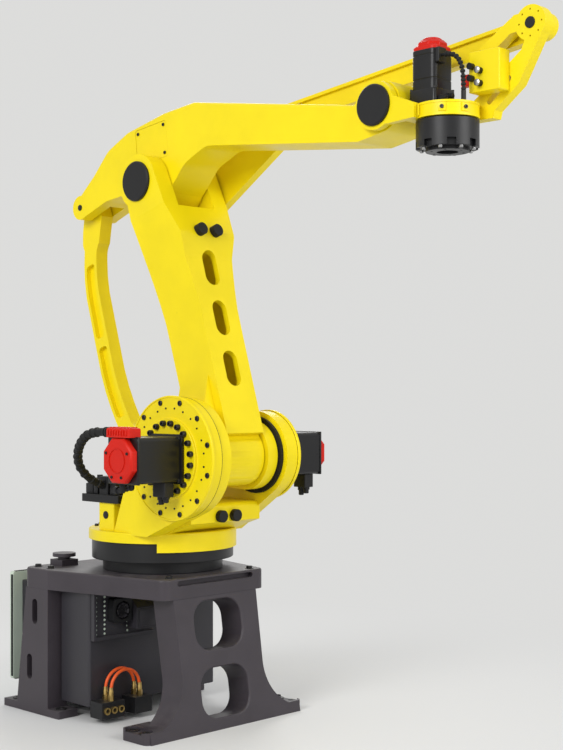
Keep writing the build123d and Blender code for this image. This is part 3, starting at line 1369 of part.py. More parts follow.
WRIST_CAP_SQ = WRIST_MOTOR_SQ - WRIST_BASE
with BuildPart() as wrist_motor_cap:
    with BuildSketch(floor(HOUSING_Z1 + WRIST_MOTOR_H)):
        with Locations((MOTOR_X, 0)):
            Rectangle(WRIST_CAP_SQ, WRIST_CAP_SQ)
        chamfer(vertices(), length=WRIST_CAP_CUT)
    extrude(amount=WRIST_CAP_H)
    chamfer(faces().sort_by(Axis.Z)[-1].edges(), length=WRIST_CAP_EDGE)
wrist_motor_cap.part.label = "wrist_motor_cap"
export_step(wrist_motor_cap.part, "parts/wrist_motor_cap.step")

BOX_PLACE = (TOOL_X + CONNECTOR_X, HOUSING_Z1 + CONNECTOR_RISE)
with BuildPart() as connector_box:
    with BuildSketch(side(BRACKET_Y0)):
        with Locations(BOX_PLACE):
            RectangleRounded(CONNECTOR_W, CONNECTOR_H, CONNECTOR_R)
    extrude(amount=BRACKET_Y0 - CONNECTOR_Y)
connector_box.part.label = "connector_box"
export_step(connector_box.part, "parts/connector_box.step")

PORTS = [(BOX_PLACE[0] + across, BOX_PLACE[1] + up) for across, up in PORT_OFFSETS]
with BuildPart() as connector_ports:
    with BuildSketch(side(CONNECTOR_Y)):
        with Locations(*PORTS):
            Circle(PORT_R)
    extrude(amount=PORT_LEN)
connector_ports.part.label = "connector_ports"
export_step(connector_ports.part, "parts/connector_ports.step")

PLUG_FACE_X = MOTOR_X + WRIST_MOTOR_SQ / 2
PLUG_Z = HOUSING_Z1 + WRIST_MOTOR_H - WRIST_PLUG_H / 2
WRIST_CABLE = [(PLUG_FACE_X + WRIST_PLUG_D, LOOP_Y, PLUG_Z)]
for heading, run in LOOP_RUNS:
    x, y, z = WRIST_CABLE[-1]
    dive = math.radians(heading)
    WRIST_CABLE.append((x + run * math.cos(dive), y, z - run * math.sin(dive)))

with BuildPart() as wrist_plug:
    with BuildSketch(Plane(origin=(PLUG_FACE_X, LOOP_Y, PLUG_Z), x_dir=(0, 1, 0), z_dir=(1, 0, 0))):
        RectangleRounded(WRIST_PLUG_W, WRIST_PLUG_H, CONNECTOR_R)
    extrude(amount=WRIST_PLUG_D)
wrist_plug.part.label = "wrist_plug"
export_step(wrist_plug.part, "parts/wrist_plug.step")

with BuildPart() as cable_gland:
    with BuildSketch(floor(HOUSING_Z1)):
        with Locations((WRIST_CABLE[-1][0], LOOP_Y)):
            RegularPolygon(GLAND_R, 6)
    extrude(amount=WRIST_CABLE[-1][2] - HOUSING_Z1)
cable_gland.part.label = "cable_gland"
export_step(cable_gland.part, "parts/cable_gland.step")

with BuildPart() as wrist_cable:
    with BuildLine() as wrist_cable_line:
        FilletPolyline(*WRIST_CABLE, radius=bend_radii(WRIST_CABLE))
    with BuildSketch(Plane(origin=wrist_cable_line.line @ 0, z_dir=wrist_cable_line.line % 0)):
        Circle(WRIST_CABLE_R)
    sweep()
wrist_cable.part.label = "wrist_cable"
export_step(wrist_cable.part, "parts/wrist_cable.step")
print("wrist cable radii", [round(radius) for radius in bend_radii(WRIST_CABLE)])

with BuildPart() as tool_flange:
    with BuildSketch(floor(TOOL_Z0)):
        with Locations((TOOL_X, 0)):
            Circle(TOOL_R)
    extrude(amount=TOOL_H)
    with BuildSketch(floor(TOOL_Z0)):
        with Locations((TOOL_X, 0)):
            with PolarLocations(TOOL_R, NOTCHES):
                Rectangle(2 * NOTCH_D, NOTCH_W)
    extrude(amount=NOTCH_H, mode=Mode.SUBTRACT)
    with BuildSketch(floor(TOOL_Z0 - TOOL_RING_H)):
        with Locations((TOOL_X, 0)):
            Circle(TOOL_RING_R)
    extrude(amount=TOOL_RING_H)
    with BuildSketch(floor(TOOL_Z1)):
        with Locations((TOOL_X, 0)):
            Circle(TOOL_SHAFT_R)
    extrude(amount=TOOL_SHAFT_H)
    with BuildSketch(floor(TOOL_Z0 - TOOL_RING_H)):
        with Locations((TOOL_X, 0)):
            Circle(TOOL_BORE_R)
            with PolarLocations(TOOL_PCD / 2, TOOL_HOLES):
                Circle(TOOL_HOLE_R)
    extrude(amount=TOOL_BORE_D, mode=Mode.SUBTRACT)
tool_flange.part.label = "tool_flange"
export_step(tool_flange.part, "parts/tool_flange.step")
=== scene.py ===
"""Looks of the palletising robot arm: paint, castings, fasteners, cords, light and camera."""
import json
import math

import bmesh
import bpy
from mathutils import Matrix, Vector


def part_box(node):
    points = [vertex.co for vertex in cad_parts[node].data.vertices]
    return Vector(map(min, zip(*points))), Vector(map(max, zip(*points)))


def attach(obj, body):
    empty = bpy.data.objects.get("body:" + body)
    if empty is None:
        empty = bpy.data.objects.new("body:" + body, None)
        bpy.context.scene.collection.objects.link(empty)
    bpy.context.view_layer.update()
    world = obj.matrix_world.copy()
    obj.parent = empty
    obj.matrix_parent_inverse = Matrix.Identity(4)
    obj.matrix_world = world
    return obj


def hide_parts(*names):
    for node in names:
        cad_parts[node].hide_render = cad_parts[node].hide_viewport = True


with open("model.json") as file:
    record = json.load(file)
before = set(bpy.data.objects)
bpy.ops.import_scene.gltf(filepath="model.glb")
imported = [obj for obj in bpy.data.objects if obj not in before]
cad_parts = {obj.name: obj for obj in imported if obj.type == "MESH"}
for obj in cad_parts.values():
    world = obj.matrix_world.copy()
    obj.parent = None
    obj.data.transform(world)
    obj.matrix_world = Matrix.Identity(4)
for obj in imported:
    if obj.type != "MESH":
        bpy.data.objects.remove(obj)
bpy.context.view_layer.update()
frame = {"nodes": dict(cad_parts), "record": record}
nodes = frame["nodes"]
record = frame["record"]
body_of_node = {n: b for b, members in record["behaviour"]["bodies"].items() for n in members}
slot_of_node = {s["node"]: s["material_slot"] for s in record["subparts"]}

# Pivot places in metres
SHOULDER = Vector((0.410, 0.0, 1.160))
LEAN = math.radians(17.0)
TILT = math.radians(6.5)
ARM_UP = Vector((-math.sin(LEAN), 0.0, math.cos(LEAN)))
ARM_OUT = Vector((math.cos(LEAN), 0.0, math.sin(LEAN)))
REACH = Vector((math.cos(TILT), 0.0, math.sin(TILT)))
RISE = Vector((-math.sin(TILT), 0.0, math.cos(TILT)))
LOWER_LEN = 1.250
UPPER_LEN = 1.330
LEVER_LEN = 0.525
LEVEL_ARM = Vector((0.545, 0.0, 0.250))
REAR_ARM = Vector((0.260, 0.0, 0.0))
ELBOW = SHOULDER + LOWER_LEN * ARM_UP
WRIST = ELBOW + UPPER_LEN * REACH
CRANK_END = SHOULDER - LEVER_LEN * REACH
REAR_EYE = ELBOW - LEVER_LEN * REACH
ROCKER_FRONT = ELBOW + LEVEL_ARM
ROCKER_REAR = ELBOW - REAR_ARM
LUG_PIN = SHOULDER - REAR_ARM
LEVEL_PIN = WRIST + LEVEL_ARM
TOOL = WRIST + Vector((0.240, 0.0, 0.0))

# Faces and places that fittings sit on, in metres
NEAR_DISC_Y = -0.311
NEAR_BOSS_Y = -0.323
FAR_DISC_Y = 0.266
NEAR_CAP_Y = -0.593
FAR_CAP_Y = 0.536
PLATE_TOP = Vector((0.0, 0.0, 0.831))
POST_Y = -0.258
POST_TOP = 0.984
SOCKET_LOW = 1.007
PIN_CAP_Y = 0.324
HOUSING_TOP = WRIST.z - 0.016
WRIST_MOTOR_X = WRIST.x + 0.168
BOSS_Z = HOUSING_TOP - 0.026
BOSS_TURNS = (-152.0, -118.0, -62.0, -20.0)
SLAB_TOP = 0.648
PANEL_X = -0.050
DOOR_X = -0.664
DOOR_MID_Z = 0.353
MANIFOLD_Y = -0.300
VALVE_Y = -0.140
FITTING_TOP = 0.118
HOSE_XS = (-0.033, 0.005)

# Directions
NEAR = Vector((0.0, -1.0, 0.0))
FAR = Vector((0.0, 1.0, 0.0))
UP = Vector((0.0, 0.0, 1.0))
DOWN = Vector((0.0, 0.0, -1.0))
FRONT = Vector((1.0, 0.0, 0.0))
BACK = Vector((-1.0, 0.0, 0.0))


# Shader groups
def new_group(name, inputs, outputs):
    """An empty shader group with plain number sockets."""
    group = bpy.data.node_groups.new(name, "ShaderNodeTree")
    for label, value in inputs:
        socket = group.interface.new_socket(label, in_out="INPUT", socket_type="NodeSocketFloat")
        socket.default_value = value
    for label in outputs:
        group.interface.new_socket(label, in_out="OUTPUT", socket_type="NodeSocketFloat")
    entry = group.nodes.new("NodeGroupInput")
    leave = group.nodes.new("NodeGroupOutput")
    return group, entry, leave


def noise_node(tree, scale, detail, roughness):
    """A noise texture with its settings."""
    node = tree.nodes.new("ShaderNodeTexNoise")
    node.inputs["Scale"].default_value = scale
    node.inputs["Detail"].default_value = detail
    node.inputs["Roughness"].default_value = roughness
    return node


def remap(tree, source, low, high, out_low=0.0, out_high=1.0):
    """Stretches one span of values onto another."""
    node = tree.nodes.new("ShaderNodeMapRange")
    node.inputs["From Min"].default_value = low
    node.inputs["From Max"].default_value = high
    node.inputs["To Min"].default_value = out_low
    node.inputs["To Max"].default_value = out_high
    tree.links.new(source, node.inputs["Value"])
    return node.outputs["Result"]


def maths(tree, operation, first, second):
    """One sum of two sockets or numbers."""
    node = tree.nodes.new("ShaderNodeMath")
    node.operation = operation
    for index, value in enumerate((first, second)):
        if isinstance(value, (int, float)):
            node.inputs[index].default_value = value
        else:
            tree.links.new(value, node.inputs[index])
    return node.outputs["Value"]


def make_grain_group():
    """Fine cast or sprayed grain, and a slow tone drift over the surface."""
    group, entry, leave = new_group("surface_grain", [("Scale", 400.0)], ["Height", "Tone"])
    place = group.nodes.new("ShaderNodeTexCoord")
    fine = noise_node(group, 400.0, 3.0, 0.6)
    slow = noise_node(group, 5.0, 5.0, 0.55)
    group.links.new(entry.outputs["Scale"], fine.inputs["Scale"])
    group.links.new(place.outputs["Object"], fine.inputs["Vector"])
    group.links.new(place.outputs["Object"], slow.inputs["Vector"])
    group.links.new(fine.outputs["Fac"], leave.inputs["Height"])
    group.links.new(remap(group, slow.outputs["Fac"], 0.35, 0.65), leave.inputs["Tone"])
    return group


def make_dust_group():
    """Dust that settles on faces that look up, thicker in patches."""
    group, entry, leave = new_group("settled_dust", [("Amount", 0.3)], ["Mask"])
    place = group.nodes.new("ShaderNodeTexCoord")
    facing = group.nodes.new("ShaderNodeNewGeometry")
    split = group.nodes.new("ShaderNodeSeparateXYZ")
    group.links.new(facing.outputs["Normal"], split.inputs["Vector"])
    up = remap(group, split.outputs["Z"], 0.45, 1.0)
    patch = noise_node(group, 14.0, 6.0, 0.65)
    group.links.new(place.outputs["Object"], patch.inputs["Vector"])
    spread = remap(group, patch.outputs["Fac"], 0.35, 0.75)
    mask = maths(group, "MULTIPLY", maths(group, "MULTIPLY", up, spread), entry.outputs["Amount"])
    group.links.new(mask, leave.inputs["Mask"])
    return group


def make_scuff_group():
    """Sparse rubbed spots and short scratches."""
    group, entry, leave = new_group("scuff_marks", [("Spread", 0.70)], ["Mask"])
    place = group.nodes.new("ShaderNodeTexCoord")
    stretch = group.nodes.new("ShaderNodeMapping")
    stretch.inputs["Scale"].default_value = (1.0, 1.0, 0.18)
    group.links.new(place.outputs["Object"], stretch.inputs["Vector"])
    scratch = noise_node(group, 160.0, 4.0, 0.5)
    region = noise_node(group, 3.2, 3.0, 0.5)
    group.links.new(stretch.outputs["Vector"], scratch.inputs["Vector"])
    group.links.new(place.outputs["Object"], region.inputs["Vector"])
    marks = maths(group, "GREATER_THAN", scratch.outputs["Fac"], entry.outputs["Spread"])
    here = remap(group, region.outputs["Fac"], 0.52, 0.66)
    group.links.new(maths(group, "MULTIPLY", marks, here), leave.inputs["Mask"])
    return group


GRAIN = make_grain_group()
DUST = make_dust_group()
SCUFF = make_scuff_group()


def blend_colour(tree, factor, first, second):
    """Mixes two colours by a mask."""
    node = tree.nodes.new("ShaderNodeMix")
    node.data_type = "RGBA"
    tree.links.new(factor, node.inputs["Factor"])
    for socket, value in ((node.inputs[6], first), (node.inputs[7], second)):
        if isinstance(value, tuple):
            socket.default_value = (*value, 1.0)
        else:
            tree.links.new(value, socket)
    return node.outputs[2]


def finish_material(name, colour, rough, metallic=0.0, coat=0.0, grain=400.0, depth=0.0004,
                    dust=0.25, dust_colour=(0.45, 0.43, 0.40), scuff=0.73, scuff_tone=0.6, drift=0.9,
                    shine=0.5):
    """A surface with its own colour, grain, tone drift, settled dust and rubbed marks."""
    material = bpy.data.materials.new(name)
    material.use_nodes = True
    tree = material.node_tree
    shader = tree.nodes["Principled BSDF"]
    grain_node = tree.nodes.new("ShaderNodeGroup")
    grain_node.node_tree = GRAIN
    grain_node.inputs["Scale"].default_value = grain
    dust_node = tree.nodes.new("ShaderNodeGroup")
    dust_node.node_tree = DUST
    dust_node.inputs["Amount"].default_value = dust
    scuff_node = tree.nodes.new("ShaderNodeGroup")
    scuff_node.node_tree = SCUFF
    scuff_node.inputs["Spread"].default_value = scuff
    darker = tuple(c * drift for c in colour)
    rubbed = tuple(c * scuff_tone for c in colour)
    tone = blend_colour(tree, grain_node.outputs["Tone"], darker, colour)
    marked = blend_colour(tree, scuff_node.outputs["Mask"], tone, rubbed)
    dusty = blend_colour(tree, dust_node.outputs["Mask"], marked, dust_colour)
    tree.links.new(dusty, shader.inputs["Base Color"])
    uneven = remap(tree, grain_node.outputs["Tone"], 0.0, 1.0, rough - 0.05, rough + 0.06)
    tree.links.new(maths(tree, "ADD", uneven, maths(tree, "MULTIPLY", dust_node.outputs["Mask"], 0.5)),
                   shader.inputs["Roughness"])
    shader.inputs["Metallic"].default_value = metallic
    shader.inputs["Coat Weight"].default_value = coat
    shader.inputs["Coat Roughness"].default_value = 0.22
    shader.inputs["Specular IOR Level"].default_value = shine
    bump = tree.nodes.new("ShaderNodeBump")
    bump.inputs["Strength"].default_value = 0.35
    bump.inputs["Distance"].default_value = depth
    tree.links.new(grain_node.outputs["Height"], bump.inputs["Height"])
    tree.links.new(bump.outputs["Normal"], shader.inputs["Normal"])
    return material


MATERIALS = {
    "grey_casting": finish_material("grey_casting_paint", (0.046, 0.038, 0.046), 0.46, coat=0.06,
                                    grain=260.0, depth=0.0008, dust=0.16, drift=0.80, shine=0.4),
    "cabinet_grey": finish_material("cabinet_paint", (0.030, 0.028, 0.034), 0.44, coat=0.05, grain=500.0,
                                    dust=0.15, shine=0.4),
    "door_green": finish_material("door_paint", (0.58, 0.67, 0.56), 0.40, coat=0.10, grain=500.0),
    "yellow_casting": finish_material("yellow_paint", (0.88, 0.70, 0.003), 0.38, coat=0.06, grain=300.0,
                                      depth=0.0006, dust=0.08, dust_colour=(0.62, 0.50, 0.12),
                                      scuff=0.75, scuff_tone=0.72, drift=0.93, shine=0.28),
    "black_metal": finish_material("black_paint", (0.008, 0.008, 0.009), 0.40, coat=0.05, grain=320.0,
                                   dust=0.10, scuff_tone=2.4, shine=0.35),
    "motor_black": finish_material("motor_paint", (0.006, 0.006, 0.007), 0.36, coat=0.06, grain=420.0,
                                   dust=0.10, scuff_tone=2.6, shine=0.35),
    "red_cap": finish_material("red_plastic", (0.60, 0.012, 0.004), 0.44, grain=500.0, dust=0.05,
                               shine=0.22),
    "black_rubber": finish_material("black_rubber", (0.009, 0.009, 0.009), 0.62, grain=240.0, dust=0.14,
                                    shine=0.3),
    "black_plastic": finish_material("black_plastic", (0.008, 0.008, 0.009), 0.48, grain=600.0, dust=0.10,
                                     shine=0.35),
    "steel": finish_material("machined_steel", (0.50, 0.50, 0.50), 0.30, metallic=1.0, grain=900.0,
                             depth=0.0002, dust=0.08, drift=0.8),
    "brass": finish_material("machined_brass", (0.66, 0.46, 0.16), 0.30, metallic=1.0, grain=900.0,
                             depth=0.0002, dust=0.08, drift=0.8),
    "orange_hose": finish_material("orange_hose", (0.88, 0.11, 0.010), 0.50, grain=300.0, dust=0.06),
}
DARK_STEEL = finish_material("dark_steel", (0.022, 0.021, 0.021), 0.40, metallic=0.4, grain=700.0,
                             depth=0.0002, dust=0.06)


for node_name in nodes:
    node_mesh = nodes[node_name].data
    node_mesh.materials.clear()
    node_mesh.materials.append(MATERIALS[slot_of_node[node_name]])


# Piece helpers
def smooth(mesh, angle):
    """Smooth shading that breaks at edges sharper than an angle."""
    for polygon in mesh.polygons:
        polygon.use_smooth = True
    mesh.set_sharp_from_angle(angle=math.radians(angle))


def add_piece(name, shape, slot, body, material=None, angle=32.0):
    """Turns a shape into a named piece that rides on a body."""
    bmesh.ops.recalc_face_normals(shape, faces=shape.faces)
    mesh = bpy.data.meshes.new(name)
    shape.to_mesh(mesh)
    shape.free()
    mesh.materials.append(material or MATERIALS[slot])
    smooth(mesh, angle)
    piece = bpy.data.objects.new(name, mesh)
    bpy.context.scene.collection.objects.link(piece)
    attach(piece, body)
    return piece


def cut_across(shape, base, along, levels):
    """Splits a shape at levels along a line, so that it can be bent there."""
    for level in levels:
        everything = shape.verts[:] + shape.edges[:] + shape.faces[:]
        bmesh.ops.bisect_plane(shape, geom=everything, plane_co=base + level * along, plane_no=along)


def draw_in_waist(shape):
    """Lets the lower arm flare in a curve up to its fork, as the real casting does."""
    narrow, widening = 0.107, 0.081
    begin, run, bend = 0.60, 0.50, 1.35
    cut_across(shape, SHOULDER, ARM_UP, [0.62, 0.70, 0.78, 0.86, 0.94, 1.02])
    for vert in shape.verts:
        level = (vert.co - SHOULDER).dot(ARM_UP)
        if 0.510 < level < 1.095 and abs(vert.co.y) > narrow + 0.0005:
            share = max(0.0, (level - begin) / run)
            vert.co.y = math.copysign(narrow + widening * share ** bend, vert.co.y)


def bow_link(shape):
    """Bends the drive link in one long curve from eye to eye."""
    eye, angled, offset = 0.03, 0.14, 0.112
    low_curve, high_curve = 0.52, 0.42
    levels = [0.08, 0.13, 0.18, 0.24, 0.31, 0.39, 0.48]
    cut_across(shape, CRANK_END, ARM_UP, levels + [LOWER_LEN - level for level in levels[:-1]])
    for vert in shape.verts:
        level = (vert.co - CRANK_END).dot(ARM_UP)
        end, length = (level, low_curve) if level < LOWER_LEN / 2 else (LOWER_LEN - level, high_curve)
        if eye < end < length:
            drawn = min(1.0, max(0.0, (end - eye) / angled))
            wanted = math.sin(math.pi / 2 * (end - eye) / (length - eye))
            vert.co += offset * (drawn - wanted) * ARM_OUT


RESHAPED = {"lower_arm": draw_in_waist, "drive_link": bow_link}


def rounded_casting(node, width):
    """A copy of a CAD node with its sharp edges eased, which is shown in its place."""
    sharp_from = 34.0
    shape = bmesh.new()
    shape.from_mesh(nodes[node].data)
    bmesh.ops.remove_doubles(shape, verts=shape.verts, dist=0.00002)
    bmesh.ops.dissolve_limit(shape, angle_limit=math.radians(0.6), verts=shape.verts, edges=shape.edges)
    if node in RESHAPED:
        RESHAPED[node](shape)
    sharp = [edge for edge in shape.edges
             if len(edge.link_faces) == 2 and edge.calc_face_angle(0.0) > math.radians(sharp_from)]
    bmesh.ops.bevel(shape, geom=sharp, offset=width, offset_type="OFFSET", segments=3, profile=0.6,
                    affect="EDGES", clamp_overlap=True)
    piece = add_piece(node + "_eased", shape, slot_of_node[node], body_of_node[node], angle=sharp_from)
    flat_faces = piece.modifiers.new("flat_faces", "WEIGHTED_NORMAL")
    flat_faces.weight = 100
    flat_faces.keep_sharp = True
    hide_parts(node)


def turned(axis):
    """Turns local Z to an axis."""
    return axis.to_track_quat("Z", "Y").to_matrix().to_4x4()


def beside(pivot, y):
    """The place on a pivot's line at a distance to the side."""
    return Vector((pivot.x, y, pivot.z))


def point_ring(shape, matrix, radius, height, steps, flats=0):
    """One round or flat-sided ring of points about an axis."""
    ring = []
    for step in range(steps):
        angle = 2 * math.pi * step / steps
        reach = radius
        if flats:
            sector = math.pi / flats
            reach = radius * math.cos(sector) / math.cos((angle % (2 * sector)) - sector)
        spot = Vector((reach * math.cos(angle), reach * math.sin(angle), height))
        ring.append(shape.verts.new(matrix @ spot))
    return ring


def join_rings(shape, rings, capped=True):
    """Faces from ring to ring, closed at both ends or round to the first ring again."""
    nexts = rings[1:] if capped else rings[1:] + rings[:1]
    for low, high in zip(rings, nexts):
        for step, vert in enumerate(low):
            after = (step + 1) % len(low)
            shape.faces.new((vert, low[after], high[after], high[step]))
    if capped:
        shape.faces.new(list(reversed(rings[0])))
        shape.faces.new(rings[-1])


def lathe(shape, place, axis, profile, steps=28, flats=0):
    """Turned shape from radii and heights, closed at both ends."""
    matrix = Matrix.Translation(place) @ turned(axis)
    join_rings(shape, [point_ring(shape, matrix, radius, up, steps, flats) for radius, up in profile])


def tube(shape, place, axis, outer, inner, height, steps=28):
    """Plain ring."""
    matrix = Matrix.Translation(place) @ turned(axis)
    profile = ((inner, 0.0), (outer, 0.0), (outer, height), (inner, height))
    join_rings(shape, [point_ring(shape, matrix, radius, up, steps) for radius, up in profile], capped=False)


def socket_screw(shape, place, axis, radius, height):
    """Cap screw with a hexagon socket."""
    matrix = Matrix.Translation(place) @ turned(axis)
    key = 0.46 * radius / math.cos(math.pi / 6)
    layers = [(radius, 0.0, 0), (radius, 0.8 * height, 0), (0.86 * radius, height, 0),
              (key, height, 6), (key, 0.4 * height, 6)]
    join_rings(shape, [point_ring(shape, matrix, reach, up, 12, flats) for reach, up, flats in layers])


def screw_ring(shape, centre, axis, ring, count, radius, height, turn=0.0, arc=(0.0, 360.0)):
    """Cap screws evenly round a circle, or on an arc of it."""
    matrix = turned(axis)
    for step in range(count):
        angle = turn + 360.0 * step / count
        if not arc[0] <= angle % 360.0 <= arc[1]:
            continue
        angle = math.radians(angle)
        offset = matrix @ Vector((ring * math.cos(angle), ring * math.sin(angle), 0.0))
        socket_screw(shape, centre + offset, axis, radius, height)


def hex_bolt(shape, place, axis, radius, height):
    """Washer and hexagon head."""
    washer = 0.18 * height
    lathe(shape, place, axis, [(1.35 * radius, 0.0), (1.35 * radius, washer)], steps=18)
    head = [(radius, washer), (radius, 0.9 * height), (0.88 * radius, height)]
    lathe(shape, place, axis, head, steps=24, flats=6)


def pin_cap(shape, place, axis):
    """Round cap over the end of a link's pin."""
    lathe(shape, place, axis, [(0.040, 0.0), (0.040, 0.004), (0.036, 0.007)], steps=36)


def screwed_pin_cap(shape, place, axis):
    """Pin cap held by three screws."""
    pin_cap(shape, place, axis)
    screw_ring(shape, place + 0.007 * axis, axis, 0.024, 3, 0.0055, 0.006, turn=90.0)


def block(shape, centre, size, ease=0.003, matrix=None):
    """Box with eased edges."""
    verts = bmesh.ops.create_cube(shape, size=1.0)["verts"]
    place = matrix or Matrix.Identity(4)
    for vert in verts:
        vert.co = place @ (Vector(centre) + Vector(a * b for a, b in zip(vert.co, size)))
    edges = list(dict.fromkeys(edge for vert in verts for edge in vert.link_edges))
    bmesh.ops.bevel(shape, geom=edges, offset=ease, segments=2, profile=0.6, affect="EDGES",
                    clamp_overlap=True)


def stacked_square(shape, place, axis, layers, steps=9):
    """Closed prism of rounded squares, each a half width, a corner radius and a height."""
    matrix = Matrix.Translation(place) @ turned(axis)
    rings = []
    for half, corner, height in layers:
        ring = []
        for quarter in range(4):
            centre = math.radians(45.0 + 90.0 * quarter)
            middle = Vector((math.copysign(half - corner, math.cos(centre)),
                             math.copysign(half - corner, math.sin(centre)), height))
            for step in range(steps):
                angle = math.radians(90.0 * quarter + 90.0 * step / (steps - 1))
                spot = middle + corner * Vector((math.cos(angle), math.sin(angle), 0.0))
                ring.append(shape.verts.new(matrix @ spot))
        rings.append(ring)
    join_rings(shape, rings)


# Castings with eased edges
EASED = {
    "lower_arm": 0.010, "upper_arm": 0.004, "turntable": 0.005, "drive_link": 0.004, "drive_crank": 0.005,
    "level_rocker": 0.004, "upper_level_link": 0.003, "lower_level_link": 0.003, "wrist_housing": 0.004,
    "level_bracket": 0.003, "front_leg": 0.005, "rear_leg": 0.005, "pedestal_slab": 0.004,
    "near_gear_disc": 0.004, "far_gear_disc": 0.004, "controller_cabinet": 0.004, "controller_door": 0.005,
    "near_motor": 0.003, "far_motor": 0.003, "near_motor_cap": 0.003, "far_motor_cap": 0.003,
    "wrist_motor_cap": 0.003, "tool_flange": 0.003, "turning_ring": 0.004,
    "connector_box": 0.003, "connector_post": 0.003, "terminal_block": 0.003, "fan_box": 0.002,
    "junction_box": 0.002, "vent_panel": 0.002, "air_manifold": 0.003, "valve_block": 0.003,
    "motor_sockets": 0.003, "wrist_plug": 0.003, "turntable_stops": 0.004, "arm_stops": 0.004,
    "stop_bracket": 0.003,
}
for node_name, ease in EASED.items():
    rounded_casting(node_name, ease)


# Shoulder fasteners
near_face = beside(SHOULDER, NEAR_DISC_Y)
near_boss = beside(SHOULDER, NEAR_BOSS_Y)
far_face = beside(SHOULDER, FAR_DISC_Y)
shape = bmesh.new()
screw_ring(shape, near_face, NEAR, 0.236, 12, 0.0115, 0.006, turn=15.0)
screw_ring(shape, near_face, NEAR, 0.208, 24, 0.0042, 0.003, turn=7.5)
screw_ring(shape, near_boss, NEAR, 0.146, 20, 0.0125, 0.018, turn=9.0)
screw_ring(shape, far_face, FAR, 0.174, 16, 0.0105, 0.010, turn=6.0)
screw_ring(shape, far_face, FAR, 0.140, 12, 0.0085, 0.010, turn=15.0)
add_piece("shoulder_screws", shape, "black_metal", "turntable", DARK_STEEL)

shape = bmesh.new()
tube(shape, near_face, NEAR, 0.258, 0.252, 0.003, 72)
tube(shape, far_face, FAR, 0.192, 0.187, 0.003, 64)
add_piece("shoulder_disc_lips", shape, "yellow_casting", "turntable")

shape = bmesh.new()
tube(shape, beside(SHOULDER, -0.2955), NEAR, 0.2548, 0.2520, 0.0015, 96)
tube(shape, beside(SHOULDER, -0.2535), NEAR, 0.2546, 0.2450, 0.0015, 96)
tube(shape, beside(SHOULDER, 0.2505), FAR, 0.1908, 0.1880, 0.0015, 80)
add_piece("shoulder_seams", shape, "black_rubber", "turntable")

shape = bmesh.new()
for arc in ((310.0, 360.0), (0.0, 48.0)):
    screw_ring(shape, PLATE_TOP, UP, 0.300, 30, 0.009, 0.010, turn=6.0, arc=arc)
add_piece("plate_screws", shape, "black_metal", "turntable", DARK_STEEL)

# Shoulder motors
flange_t = 0.016
shape = bmesh.new()
for place, way in ((near_boss, NEAR), (far_face, FAR)):
    block(shape, place + flange_t / 2 * way, (0.204, flange_t, 0.204), 0.006)
for y in (-0.555, 0.498):
    block(shape, beside(SHOULDER, y), (0.192, 0.010, 0.192), 0.003)
add_piece("motor_flanges", shape, "motor_black", "turntable")

shape = bmesh.new()
for across in (-0.086, 0.086):
    for up in (-0.086, 0.086):
        corner = Vector((across, 0.0, up))
        socket_screw(shape, near_boss + corner + flange_t * NEAR, NEAR, 0.009, 0.010)
        socket_screw(shape, far_face + corner + flange_t * FAR, FAR, 0.009, 0.010)
for across, up in ((-0.066, 0.030), (0.066, 0.030), (-0.030, -0.066), (0.030, -0.066)):
    corner = Vector((across, 0.0, up))
    socket_screw(shape, beside(SHOULDER, NEAR_CAP_Y) + corner, NEAR, 0.006, 0.005)
    socket_screw(shape, beside(SHOULDER, FAR_CAP_Y) + corner, FAR, 0.006, 0.005)
add_piece("motor_screws", shape, "black_metal", "turntable", DARK_STEEL)

shape = bmesh.new()
for y, way in ((NEAR_CAP_Y, NEAR), (FAR_CAP_Y, FAR)):
    tube(shape, beside(SHOULDER, y), way, 0.050, 0.046, 0.003, 40)
add_piece("motor_cap_rims", shape, "red_cap", "turntable")

shape = bmesh.new()
cover_low, cover_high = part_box("connector_cover")
cover_mid = (cover_low + cover_high) / 2
for step in range(8):
    x = cover_low.x + 0.016 + 0.0163 * step
    block(shape, Vector((x, cover_mid.y, cover_high.z + 0.001)), (0.007, 0.046, 0.006), 0.0015)
    block(shape, Vector((x, cover_low.y - 0.001, cover_mid.z)), (0.007, 0.006, 0.022), 0.0015)
add_piece("cover_ribs", shape, "red_cap", "turntable")

shape = bmesh.new()
plug_low, plug_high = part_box("cable_plug")
plug_mid = (plug_low + plug_high) / 2
for step in range(3):
    spot = Vector((plug_high.x - 0.006 - 0.014 * step, plug_mid.y, plug_mid.z))
    tube(shape, spot, BACK, 0.0212, 0.0185, 0.006)
post_plug = [(0.016, 0.0), (0.016, 0.010), (0.013, 0.013), (0.013, 0.024)]
for x, wide, tall in ((-0.170, 0.050, 0.046), (-0.125, 0.030, 0.060), (-0.004, 0.040, 0.052)):
    block(shape, Vector((x, POST_Y, POST_TOP + tall / 2)), (wide, 0.050, tall), 0.004)
    lathe(shape, Vector((x, POST_Y, POST_TOP + tall)), UP, post_plug)
lathe(shape, Vector((-0.042, -0.290, 0.897)), NEAR, [(0.017, 0.0), (0.017, 0.003), (0.013, 0.005)])
for y, talls in ((-0.379, (0.030, 0.022)), (0.448, (0.034, 0.026))):
    for x, tall in zip((0.432, 0.462), talls):
        hung_plug = [(0.016, 0.0), (0.016, 0.4 * tall), (0.012, 0.5 * tall), (0.012, tall),
                     (0.009, 1.1 * tall)]
        lathe(shape, Vector((x, y, SOCKET_LOW)), DOWN, hung_plug, steps=24)
add_piece("terminal_plugs", shape, "black_plastic", "turntable")

